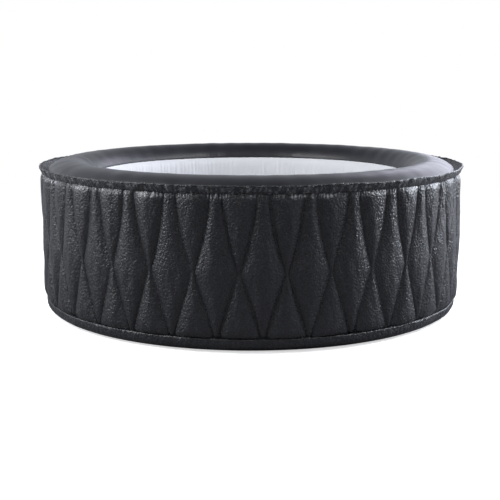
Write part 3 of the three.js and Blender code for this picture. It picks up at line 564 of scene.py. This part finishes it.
def collar_profile(low, high):
    """Section of the collar: its outer face, its inner face, and the web that ties it to the wall."""
    foot, rim, thick = SKIN_RADIUS - 0.001, RIM_RADIUS - 0.001, 0.0048
    climb = np.linspace(0, 1, 9)
    belly = 0.0022 * np.sin(math.pi * climb)
    outer = np.stack([foot + (rim - foot) * climb ** 1.25 + belly, low + (high - low) * climb], 1)
    inner = outer[::-1] - np.array([thick, 0.0])
    web_end = SKIN_RADIUS - 0.032
    web = np.array([[SKIN_RADIUS - 0.0105, low - 0.004], [web_end, low - 0.008],
                    [web_end, low - 0.012], [SKIN_RADIUS - 0.012, low - 0.009]])
    return np.vstack([outer, inner, web]), len(outer)


def build_collar():
    columns = around(FINE_ROUND)
    angle = columns[None, :]
    low, high = SKIN_TOP + 0.0004, RIM_TOP - 0.0045
    profile, face_rows = collar_profile(low, high)
    radius, height = profile[:, :1], profile[:, 1:]
    up = np.clip((height - low) / (high - low), 0, 1)
    out, rise = rim_offset(angle, up)
    fold = 0.0008 * wander(angle, 14, 40, 160, waves=40, height=height, rate=160)
    piece = turned("collar_band", radius + out + fold * up ** 0.5, height + rise, columns)
    # painted shade: the seam value is zero at the collar's foot, so the leather darkens there and on the web
    # beneath it
    set_values(piece, "seam", np.repeat(np.abs(height - low) * 1.4, len(columns)))
    # painted glints on the collar's face, along its crinkles, where the leather is also shinier
    creases = wander(angle, 16, 30, 400, waves=40, height=height, rate=120)
    on_face = np.arange(len(profile))[:, None] < face_rows
    set_values(piece, "gather", np.clip(0.06 + 0.18 * creases, 0, 1) * on_face)
    dress(piece, "skin", "collar")


def build_welt():
    columns = around(FINE_ROUND)
    turns = around(10)[:, None]
    out, rise = rim_offset(columns[None, :], 1.0)
    thick = 0.0034 * (1 + 0.12 * wander(columns[None, :], 15, 200, 500, waves=30))
    radius = RIM_RADIUS - 0.0035 + out + thick * np.cos(turns)
    height = RIM_TOP - 0.0036 + rise + thick * np.sin(turns)
    piece = turned("collar_welt", radius, height, columns)
    set_values(piece, "seam", np.full(len(piece.data.vertices), NO_SEAM))
    dress(piece, "skin", "collar_piping")


def hem_profile():
    """Section of the hem: it rounds under the wall, stands up to the lower seam and tucks in there."""
    edge, climb = SKIN_RADIUS - 0.005, 0.034
    bend = np.linspace(0, math.pi / 2, 9)[:, None]
    curve = np.hstack([BASE_RADIUS + (edge - BASE_RADIUS) * np.sin(bend), climb * (1 - np.cos(bend))])
    upright = np.array([[edge + 0.001, climb + (SKIN_LOW - climb) * t] for t in (0.35, 0.7, 0.92)])
    tuck = np.array([[edge - 0.002, SKIN_LOW - 0.0004], [edge - 0.006, SKIN_LOW - 0.0012]])
    outer = np.vstack([curve, upright, tuck])
    inner = np.vstack([[edge - 0.007, climb + 0.004], curve[::-2] + [-0.004, 0.0035]])
    return np.vstack([outer, inner]), len(outer)


def build_hem():
    columns = around(FINE_ROUND)
    profile, face_rows = hem_profile()
    radius, height = profile[:, :1], profile[:, 1:]
    on_face = np.arange(len(profile))[:, None] < face_rows
    loose = np.clip(height / 0.03, 0, 1) * on_face
    rough = 0.0008 * wander(columns[None, :], 20, 60, 300, waves=40, height=height, rate=90)
    slow = 0.0022 * wander(columns[None, :], 21, 5, 30)
    above_ground = np.maximum(height, 0.0001)
    piece = turned("hem_band_leather", radius + (rough + slow) * loose, above_ground, columns)
    # painted shade: the hem darkens just below the lower seam
    set_values(piece, "seam", np.repeat(np.maximum(SKIN_LOW - height, 0) * 1.2, len(columns)))
    dress(piece, "skin", "hem_band")


# ------------------------------------------------------------------ ring, liner, floor, channel

def build_ring():
    columns = around(900)
    angle = columns[None, :]
    turns = around(56)[:, None]
    near_liner = smooth(np.cos(turns - math.radians(160)), 0.9, 1.0)
    puckers = 0.0004 * near_liner * wander(angle, 30, 120, 330, waves=30)
    sway = 0.0012 * wander(angle, 31, 3, 12)
    tube = RING_TUBE - 0.0012 + puckers + 0.0007 * wander(angle, 32, 10, 60, height=turns, rate=1.2)
    full = 1 + RING_FULLNESS * smooth(np.sin(turns), 0.15, 0.7) * smooth(np.cos(turns), 0, 0.3)
    radius = RING_RADIUS + sway + tube * full * np.cos(turns)
    piece = turned("inflated_ring", radius, RING_HEIGHT + tube * np.sin(turns), columns)
    dress(piece, "ring", "top_ring")


def place_behind(node):
    """Local frame with +X towards the back, through a node's middle height on the tub's axis."""
    low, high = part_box(node)
    turn = Matrix.Rotation(math.pi / 2, 4, "Z")
    return Matrix.Translation((0, 0, (low.z + high.z) / 2)) @ turn


def liner_holes():
    """Place and radius of each hole through the liner."""
    return [
        (place_behind("filter_housing"), 0.053),
        (place_behind("return_grille"), 0.012),
        (wall_place("drain_plug"), 0.0135),
    ]


def liner_profile(wall):
    """Section of the liner: upright to the ring, and then out to the seam under it."""
    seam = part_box("liner_wall")[1].x
    rows = np.linspace(FLOOR_TOP - 0.005, RING_HEIGHT - 0.01, 46)
    rise = np.linspace(0.15, 1, 5)
    upright = np.column_stack([np.full(len(rows), wall), rows])
    lip_height = RING_HEIGHT + (LINER_TOP - RING_HEIGHT) * rise
    return np.vstack([upright, np.column_stack([wall + (seam - wall - 0.001) * rise ** 1.5, lip_height])])


def build_liner():
    columns = around(1080)
    angle = columns[None, :]
    wall = FLOOR_RADIUS + 0.0011
    profile = liner_profile(wall)
    height = profile[:, 1:]
    taut = smooth(height, FLOOR_TOP, 0.09) * (1 - smooth(height, RING_HEIGHT - 0.02, LINER_TOP))
    flutes = -0.0016 * (0.5 + 0.5 * np.cos(48 * angle + 0.8 * wander(angle, 40, 3, 20)))
    creases = -0.0017 * np.abs(wander(angle, 41, 30, 170, waves=40, height=height, rate=5)) ** 1.5
    face = profile[:, :1] + (flutes + creases) * taut
    back = profile[::-6] + [0.0026, 0]
    level = np.zeros_like(angle)
    radius = np.vstack([face, back[:, :1] + level])
    tall = np.vstack([height + level, back[:, 1:] + level])
    holes = any_of(*(near_axis(place, size) for place, size in liner_holes()))
    piece = turned("liner_sheet", radius, tall, columns, is_hole=holes, flip=True)
    dress(piece, "liner", "liner_wall")


def disc(name, radius, low, high, ripple, seed):
    """A round sheet, thick from low to high, whose top ripples a little."""
    columns = around(180)
    middle = 0.0006 * radius  # the hole at the centre is too small to see
    rings = np.linspace(middle / radius, 1, 40)[:, None] * radius
    free = smooth(rings, radius, radius * 0.8)
    wave = ripple * wander(columns[None, :], seed, 2, 14, height=rings, rate=14) * free
    under = np.array([[radius - 0.001], [radius * 0.5], [middle]])
    radii = np.vstack([rings, under]) + 0 * columns
    heights = np.vstack([high - 0.0006 - np.abs(wave), np.full((len(under), len(columns)), low)])
    return turned(name, radii, heights, columns)


def build_floor():
    piece = disc("floor_vinyl", FLOOR_RADIUS - 0.0015, bottom("floor_sheet"), FLOOR_TOP, 0.0012, 50)
    dress(piece, "liner", "floor_sheet")


def build_ground_sheet():
    piece = disc("ground_vinyl", BASE_RADIUS, 0.0, top("base_sheet"), 0.0004, 51)
    dress(piece, "ground_sheet", "base_sheet")


def build_channel():
    columns = around(360)
    outer, crest = outer_radius("bubble_channel"), top("bubble_channel")
    foot, half = bottom("bubble_channel"), 0.015
    turns = np.linspace(-0.12 * math.pi, 1.12 * math.pi, 22)[:, None]
    aside, up = np.cos(turns), np.sin(turns)
    radius = outer - half + half * np.sign(aside) * np.abs(aside) ** 0.55
    height = np.maximum(foot + (crest - foot) * np.abs(up) ** 0.6 * np.sign(up), foot)
    piece = turned("bubble_channel_tube", radius, height, columns)
    dress(piece, "liner", "bubble_channel")
    build_jets(outer - half, crest)


def build_jets(radius, height):
    """Eyelets of the air jets on the channel's crest."""
    count, rim, hole = 60, 0.0034, 0.0018
    turns = around(14)
    section = ((rim, -0.0004), (rim * 0.8, 0.0009), (hole, 0.0007), (hole, -0.002), (0.0001, -0.002))
    vertices, faces = [], []
    for i in range(count):
        aim = 2 * math.pi * (i + 0.5) / count
        centre = polar(radius, aim, height)
        base = len(vertices)
        for r, z in section:
            vertices += [centre + [r * math.cos(t), r * math.sin(t), z] for t in turns]
        faces += (grid_faces(len(section), len(turns)) + base).tolist()
    dress(new_mesh("jet_eyelets", vertices, faces), "white_plastic")


def bladder_outline():
    """Section of the wall's chamber: flat below, rounded outwards, and hollowed above for the ring."""
    nest = np.linspace(math.radians(-22), math.radians(-158), 20)
    seat = RING_TUBE + 0.0006
    nested = np.column_stack([RING_RADIUS + seat * np.cos(nest), RING_HEIGHT + seat * np.sin(nest)])
    out, inn, foot = SKIN_RADIUS - 0.0125, FLOOR_RADIUS + 0.0065, 0.0036
    bend = np.linspace(0, math.pi / 2, 7)[1:]
    edge_radius = BASE_RADIUS - 0.012 + (out - BASE_RADIUS + 0.01) * np.sin(bend)
    edge = np.column_stack([edge_radius, 0.0035 + 0.03 * (1 - np.cos(bend))])
    low = [[inn, foot], [BASE_RADIUS - 0.02, foot]]
    return np.vstack([low, edge, [out, nested[0][1]], nested, [inn, nested[-1][1]]])


def build_bladder():
    outline = bladder_outline()
    holes = [near_axis(place, 0.026) for place in PLACES.values()]
    holes = any_of(in_box_behind("case_body", 0.004), *holes)
    piece = turned("wall_chamber", outline[:, :1], outline[:, 1:], around(288), is_hole=holes)
    dress(piece, "bladder", "wall_bladder")


# ------------------------------------------------------------------ hard pieces

EDGE = 0.0008  # bevel of a hard piece's edges
SIDES = {"valve_base": 14, "filter_housing": 18, "filter_cap": 18, "pump_motor": 14}  # flats in the CAD
SIDES_ELSEWHERE = 12
SMALL_SIDES = 10
X_AXIS, Y_AXIS, Z_AXIS = (1, 0, 0), (0, 1, 0), (0, 0, 1)


def copy_of(node, name):
    piece = bpy.data.objects.new(name, NODES[node].data.copy())
    piece.data.materials.clear()
    bpy.context.collection.objects.link(piece)
    return piece


def soften(piece, width):
    """Narrow bevels on the sharp edges, with smooth faces between them."""
    bevel = piece.modifiers.new("edges", "BEVEL")
    bevel.width, bevel.segments = width, 2
    bevel.limit_method, bevel.angle_limit = "ANGLE", math.radians(32)
    bevel.harden_normals = False
    piece.data.polygons.foreach_set("use_smooth", np.ones(len(piece.data.polygons), bool))
    weighted = piece.modifiers.new("normals", "WEIGHTED_NORMAL")
    weighted.keep_sharp = True


def first_corner(points, sides):
    """Angle of a corner of a piece that was turned with a number of sides, from its furthest points."""
    reach = np.hypot(points[:, 1], points[:, 2])
    corners = np.arctan2(points[:, 2], points[:, 1])[reach > reach.max() * 0.99]
    return np.angle(np.exp(1j * corners * sides).mean()) / sides


def rounded(piece, place, sides):
    """Turns the flats of a piece that was turned with few sides into true rounds, about the local X axis."""
    work = bmesh.new()
    work.from_mesh(piece.data)
    bmesh.ops.dissolve_limit(work, angle_limit=0.01, verts=work.verts, edges=work.edges)
    long_edges = [e for e in work.edges if e.calc_length() > 0.0015]
    bmesh.ops.subdivide_edges(work, edges=long_edges, cuts=3, use_grid_fill=True)
    bmesh.ops.triangulate(work, faces=[f for f in work.faces if len(f.verts) > 4])
    back = place.inverted()
    points = np.array([back @ v.co for v in work.verts])
    radius, turn = np.hypot(points[:, 1], points[:, 2]), np.arctan2(points[:, 2], points[:, 1])
    step = 2 * math.pi / sides
    start = first_corner(np.array([back @ v.co for v in piece.data.vertices]), sides)
    off_flat = (turn - start) % step - step / 2
    radius = radius * np.cos(off_flat) / math.cos(step / 2)
    for v, x, r, t in zip(work.verts, points[:, 0], radius, turn):
        v.co = place @ Vector((x, r * math.cos(t), r * math.sin(t)))
    work.to_mesh(piece.data)
    work.free()
    return piece


def turned_about(node, axis):
    """Local frame, with X along an axis of the row frame, through the centre of a node's box."""
    low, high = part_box(node)
    turn = Vector((1, 0, 0)).rotation_difference(Vector(axis)).to_matrix().to_4x4()
    return Matrix.Translation((low + high) / 2) @ turn


def finish_round(node, slot, place, sides=SIDES_ELSEWHERE, width=EDGE):
    """Stands a truly round piece in for one that was turned with few flats."""
    piece = rounded(copy_of(node, f"{node}_round"), place, sides)
    soften(piece, width)
    dress(piece, slot, node, body=NODES[node]["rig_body"])


def finish_node(node, slot, width=EDGE):
    """Keeps a CAD piece's shape, and gives it soft edges and its material."""
    piece = NODES[node]
    piece.data.materials.clear()
    piece.data.materials.append(MATERIALS[slot])
    soften(piece, width)


WALL_ROUNDS = {
    "dark_plastic": ["valve_base", "valve_cap", "relief_body", "relief_cover", "drain_duct", "drain_cap"],
    "white_plastic": ["valve_stem", "relief_poppet", "drain_plug"],
    "rubber": ["valve_cap_seal", "drain_cap_seal"],
}
Y_ROUNDS = {
    "white_plastic": ["filter_housing", "filter_cap", "return_grille"],
    "rubber": ["cable_gland"],
    "steel": ["pump_motor", "blower_motor"],
}
PLAIN = {
    "dark_plastic": ["case_body", "keypad_panel", "pump_volute", "impeller", "blower_housing"],
    "cover_plastic": ["unit_cover", "service_door"],
    "white_plastic": ["discharge_pipe", "return_pipe", "blower_fan"],
    "display": ["display_window"],
    "rubber": ["keypad_membrane", "check_flap", "air_hose"],
    "steel": ["door_pin", "heater_tube", "valve_spring", "relief_spring"],
    "board": ["circuit_board"],
    "filter_media": ["filter_cartridge"],
    "liner": ["air_elbow"],
}
EDGES = {"unit_cover": 0.0022, "service_door": 0.0015, "case_body": 0.003, "keypad_panel": 0.0016,
         "valve_spring": 0.0001, "relief_spring": 0.0001, "door_pin": 0.0003}


def named(start):
    return [node for node in NODES if node.startswith(start)]


def finish_hard_pieces():
    for slot, nodes in WALL_ROUNDS.items():
        for node in nodes:
            finish_round(node, slot, wall_place(node), SIDES.get(node, SIDES_ELSEWHERE))
    for slot, nodes in Y_ROUNDS.items():
        for node in nodes:
            finish_round(node, slot, turned_about(node, Y_AXIS), SIDES.get(node, SIDES_ELSEWHERE))
    for node in named("button_"):
        finish_round(node, "key_plastic", turned_about(node, Y_AXIS), SMALL_SIDES, 0.0007)
    for node in named("cover_screw_"):
        finish_round(node, "steel", turned_about(node, Y_AXIS), SMALL_SIDES, 0.0003)
    finish_round("heating_element", "steel", turned_about("heating_element", X_AXIS), SMALL_SIDES)
    finish_round("check_valve_body", "white_plastic", turned_about("check_valve_body", Z_AXIS))
    for slot, nodes in PLAIN.items():
        for node in nodes:
            finish_node(node, slot, EDGES.get(node, EDGE))


def box_faces(low, high):
    """Corners and faces of a small box."""
    corners = [(x, y, z) for x in (low[0], high[0]) for y in (low[1], high[1]) for z in (low[2], high[2])]
    return corners, [(0, 1, 3, 2), (4, 6, 7, 5), (0, 4, 5, 1), (2, 3, 7, 6), (0, 2, 6, 4), (1, 5, 7, 3)]


def boxes(name, spans):
    vertices, faces = [], []
    for low, high in spans:
        corners, sides = box_faces(low, high)
        faces += [tuple(i + len(vertices) for i in side) for side in sides]
        vertices += corners
    return new_mesh(name, vertices, faces)


SEGMENTS = {"3": "abcdg", "8": "abcdefg"}


def digit_bars(digit, x, low, high, front):
    """Bars of a seven-segment digit, seen from behind the tub, where +X runs to the viewer's left."""
    half, wide, middle = 0.0008, 0.0085, (low + high) / 2
    back, face = front - 0.0004, front + 0.0002
    flat = {"a": high, "g": middle, "d": low}
    upright = {"b": (x, middle, high), "c": (x, low, middle),
               "f": (x + wide, middle, high), "e": (x + wide, low, middle)}
    spans = []
    for bar in SEGMENTS[digit]:
        if bar in flat:
            z = flat[bar]
            spans.append(((x + 2 * half, back, z - half), (x + wide - 2 * half, face, z + half)))
        else:
            at, start, end = upright[bar]
            spans.append(((at - half, back, start + 2 * half), (at + half, face, end - 2 * half)))
    return spans


def display_glow():
    material, _, _, shader = tree_of("display_glow")
    shader.inputs["Base Color"].default_value = (0.1, 0.5, 0.7, 1)
    shader.inputs["Emission Color"].default_value = (0.35, 0.85, 1.0, 1)
    shader.inputs["Emission Strength"].default_value = 1.6
    return material


def build_display_digits():
    low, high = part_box("display_window")
    edge = (high.z - low.z) * 0.2
    spans = []
    for digit, x in (("3", 0.0025), ("8", -0.0115)):
        spans += digit_bars(digit, x, low.z + edge, high.z - edge, high.y)
    piece = boxes("display_digits", spans)
    piece.data.materials.append(display_glow())
    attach(piece, "root")


# ------------------------------------------------------------------ sewn details

def rounded_outline(half_wide, half_tall, corner):
    """Points of an upright rectangle with round corners, about its centre."""
    route = []
    for start, side, up in ((0, 1, 1), (90, -1, 1), (180, -1, -1), (270, 1, -1)):
        for turn in np.radians(np.linspace(start, start + 90, 12)):
            x, z = side * (half_wide - corner), up * (half_tall - corner)
            route.append((x + corner * math.cos(turn), z + corner * math.sin(turn)))
    return np.array(route)


def build_cover_binding():
    """Padded binding sewn round the window that the unit's cover sits in."""
    low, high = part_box("unit_cover")
    gap, centre = 0.006, (low.z + high.z) / 2
    outline = rounded_outline(high.x + gap, (high.z - low.z) / 2 + gap, 0.018)
    route = resampled(outline, 260)
    ways = np.roll(route, -1, 0) - np.roll(route, 1, 0)
    sides = np.stack([ways[:, 1], -ways[:, 0]], 1) / np.linalg.norm(ways, axis=1)[:, None]
    rng = np.random.default_rng(SEED + 60)
    swell = 1 + 0.05 * rng.normal(size=len(route))
    turns = around(10)
    rows = []
    for turn in turns:
        across = route + sides * (0.0085 * math.cos(turn))
        radius = SKIN_RADIUS - 0.0005 + 0.0045 * np.sin(turn) * swell
        aim = across[:, 0] / SKIN_RADIUS
        rows.append(np.stack([radius * np.sin(aim), radius * np.cos(aim), centre + across[:, 1]], -1))
    faces = grid_faces(len(turns), len(route), close_rows=True)[:, ::-1]
    piece = new_mesh("cover_binding", np.concatenate(rows), faces)
    set_values(piece, "seam", np.full(len(piece.data.vertices), NO_SEAM))
    dress(piece, "skin")


def resampled(route, count):
    """The closed route again, with evenly spaced points."""
    loop = np.vstack([route, route[:1]])
    run = np.r_[0, np.cumsum(np.linalg.norm(np.diff(loop, axis=0), axis=1))]
    at = np.linspace(0, run[-1], count, endpoint=False)
    return np.stack([np.interp(at, run, loop[:, i]) for i in range(2)], 1)


def build_stitches(name, radius, height, count):
    """A row of short thread stitches round the tub."""
    half, thick, sunk = 0.0028, 0.0006, -0.0005
    arch = ((-half, sunk), (-half * 0.6, thick), (half * 0.6, thick), (half, sunk))
    vertices, faces = [], []
    for aim in np.arange(count) * 2 * math.pi / count:
        out = np.array([math.sin(aim), -math.cos(aim), 0])
        side = np.array([math.cos(aim), math.sin(aim), 0])
        base = len(vertices)
        for along, lift in arch:
            for up in (-thick, thick):
                vertices.append(out * (radius + lift) + side * along + np.array([0, 0, height + up]))
        faces += [(base + i, base + i + 1, base + i + 3, base + i + 2) for i in (0, 2, 4)]
    dress(new_mesh(name, vertices, faces), "rubber")


def build_liner_weld():
    """Welded lap where the liner meets the ring."""
    columns = around(720)
    turns = around(8)[:, None]
    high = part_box("liner_wall")[1]
    ripple = 0.0003 * wander(columns[None, :], 70, 60, 240, waves=30)
    radius = high.x - 0.0022 + ripple + 0.0028 * np.cos(turns)
    height = high.z - 0.001 + ripple + 0.004 * np.sin(turns)
    dress(turned("liner_weld", radius, height, columns), "ring")


# ------------------------------------------------------------------ light, floor and camera

LENS, SENSOR, SHIFT = 71.3, 36.0, -0.002
EYE = (0.0, -4.869, 1.1453)  # fitted to the photo, as its tilt is
TILT_DOWN = math.radians(10.51)
FLOOR_GLOW = 0.6  # light that the camera sees in the floor, over what falls on it
FLOOR_BOUNCE = (0.21, 0.21, 0.22)  # the floor's colour in what the tub reflects


def build_camera():
    camera = bpy.data.objects.new("camera", bpy.data.cameras.new("camera"))
    camera.data.lens, camera.data.sensor_width = LENS, SENSOR
    camera.data.shift_x = SHIFT
    camera.location = EYE
    camera.rotation_euler = (math.pi / 2 - TILT_DOWN, 0, 0)
    bpy.context.collection.objects.link(camera)
    bpy.context.scene.camera = camera


def softbox(name, place, target, size, power, colour=(1, 1, 1), mirrored=True):
    lamp = bpy.data.lights.new(name, "AREA")
    lamp.shape, lamp.size, lamp.size_y = "RECTANGLE", *size
    lamp.energy, lamp.color = power, colour
    light = bpy.data.objects.new(name, lamp)
    light.location = place
    light.visible_glossy = mirrored
    light.rotation_euler = (Vector(target) - Vector(place)).to_track_quat("-Z", "Y").to_euler()
    bpy.context.collection.objects.link(light)


def mixed(nodes, links, factor, first, second):
    mix = nodes.new("ShaderNodeMixShader")
    links.new(factor, mix.inputs["Fac"])
    links.new(first, mix.inputs[1])
    links.new(second, mix.inputs[2])
    return mix.outputs["Shader"]


def camera_sees(nodes):
    return nodes.new("ShaderNodeLightPath").outputs["Is Camera Ray"]


def world_strength(nodes, links):
    """Dim in front and overhead, and brighter behind and at the sides."""
    direction = nodes.new("ShaderNodeTexCoord")
    axes = nodes.new("ShaderNodeSeparateXYZ")
    links.new(direction.outputs["Generated"], axes.inputs["Vector"])
    x, y, z = (axes.outputs[axis] for axis in "XYZ")
    behind = remap(nodes, links, y, -0.5, 0.7, 0.24, 1.0)
    aside = remap(nodes, links, math_node(nodes, links, "ABSOLUTE", x, 0.0), 0.35, 1.0, 0.0, 0.5)
    dim_above = remap(nodes, links, z, 0.12, 0.95, 1.0, 0.10)
    dim_below = remap(nodes, links, z, -0.05, 0.15, 0.4, 1.0)
    rightwards = remap(nodes, links, x, -1.0, 1.0, 1.0, 1.2)
    level = math_node(nodes, links, "ADD", behind, aside)
    by_height = times(nodes, links, dim_above, dim_below)
    return times(nodes, links, times(nodes, links, level, by_height), rightwards)


def build_world():
    """White to the eye, and uneven in what lights the tub."""
    world = bpy.data.worlds.new("studio")
    bpy.context.scene.world = world
    world.use_nodes = True
    nodes, links = world.node_tree.nodes, world.node_tree.links
    lit = nodes["Background"]
    lit.inputs["Color"].default_value = (0.88, 0.92, 1.0, 1)
    links.new(world_strength(nodes, links), lit.inputs["Strength"])
    seen = nodes.new("ShaderNodeBackground")
    seen.inputs["Color"].default_value = (1, 1, 1, 1)
    both = mixed(nodes, links, camera_sees(nodes), lit.outputs["Background"], seen.outputs["Background"])
    links.new(both, nodes["World Output"].inputs["Surface"])


def stage_material():
    """Pale floor: near white to the eye, dimmer in what the tub reflects, fading out metres away."""
    material, nodes, links, shader = tree_of("studio_floor")
    shader.inputs["Base Color"].default_value = (0.86, 0.86, 0.87, 1)
    shader.inputs["Roughness"].default_value = 0.9
    shader.inputs["Specular IOR Level"].default_value = 0.0
    shader.inputs["Emission Color"].default_value = (1, 1, 1, 1)
    shader.inputs["Emission Strength"].default_value = FLOOR_GLOW
    dim = nodes.new("ShaderNodeBsdfDiffuse")
    dim.inputs["Color"].default_value = (*FLOOR_BOUNCE, 1)
    floor = mixed(nodes, links, camera_sees(nodes), dim.outputs[0], shader.outputs[0])
    place, away = nodes.new("ShaderNodeTexCoord"), nodes.new("ShaderNodeVectorMath")
    away.operation = "LENGTH"
    links.new(place.outputs["Object"], away.inputs[0])
    faded = remap(nodes, links, away.outputs["Value"], 1.7, 4.5, 0.0, 1.0)
    clear = nodes.new("ShaderNodeBsdfTransparent")
    ended = mixed(nodes, links, faded, floor, clear.outputs[0])
    links.new(ended, nodes["Material Output"].inputs["Surface"])
    return material


def build_floor_stage():
    radii = np.array([[0.0001], [1.0], [2.0], [3.5], [5.0]])
    piece = turned("studio_floor", radii, np.full_like(radii, -0.0006), around(96), close=False)
    piece.data.materials.append(stage_material())


def build_studio():
    build_world()
    build_floor_stage()
    centre = (0, 0, 0.35)
    softbox("key_right", (4.1, 0.9, 2.1), centre, (2.2, 2.4), 115, (0.83, 0.88, 1.0))
    softbox("strip_right", (3.9, 0.6, 1.5), centre, (0.5, 1.4), 70, (0.90, 0.94, 1.0))
    softbox("gather_right", (2.6, -1.0, 3.6), (0.5, -0.8, 0.6), (0.5, 1.6), 65)
    softbox("back_right", (3.0, 3.6, 2.3), (0.5, 0, 0.6), (3.4, 2.6), 80, (0.84, 0.84, 1.0))
    softbox("fill_left", (-4.0, -1.0, 2.1), centre, (2.4, 2.0), 110, (0.95, 0.97, 1.0))
    softbox("gather_left", (-2.6, -1.2, 3.6), (-0.5, -0.8, 0.6), (0.5, 1.8), 75)
    softbox("gather_front", (0.0, -3.4, 2.9), (0, -1.0, 0.6), (2.2, 0.5), 16)
    softbox("overhead", (0.0, -0.5, 4.0), (0, 0.5, 0.4), (2.6, 2.6), 25, mirrored=False)
    bpy.context.scene.view_settings.view_transform = "Standard"


# ------------------------------------------------------------------ assembly

build_camera()
build_quilt()
build_collar()
build_welt()
build_hem()
build_ring()
build_liner()
build_floor()
build_ground_sheet()
build_channel()
build_bladder()
build_cover_binding()
build_stitches("collar_stitches", SKIN_RADIUS + 0.0035, SKIN_TOP + 0.006, 760)
build_liner_weld()
finish_hard_pieces()
build_display_digits()
build_studio()
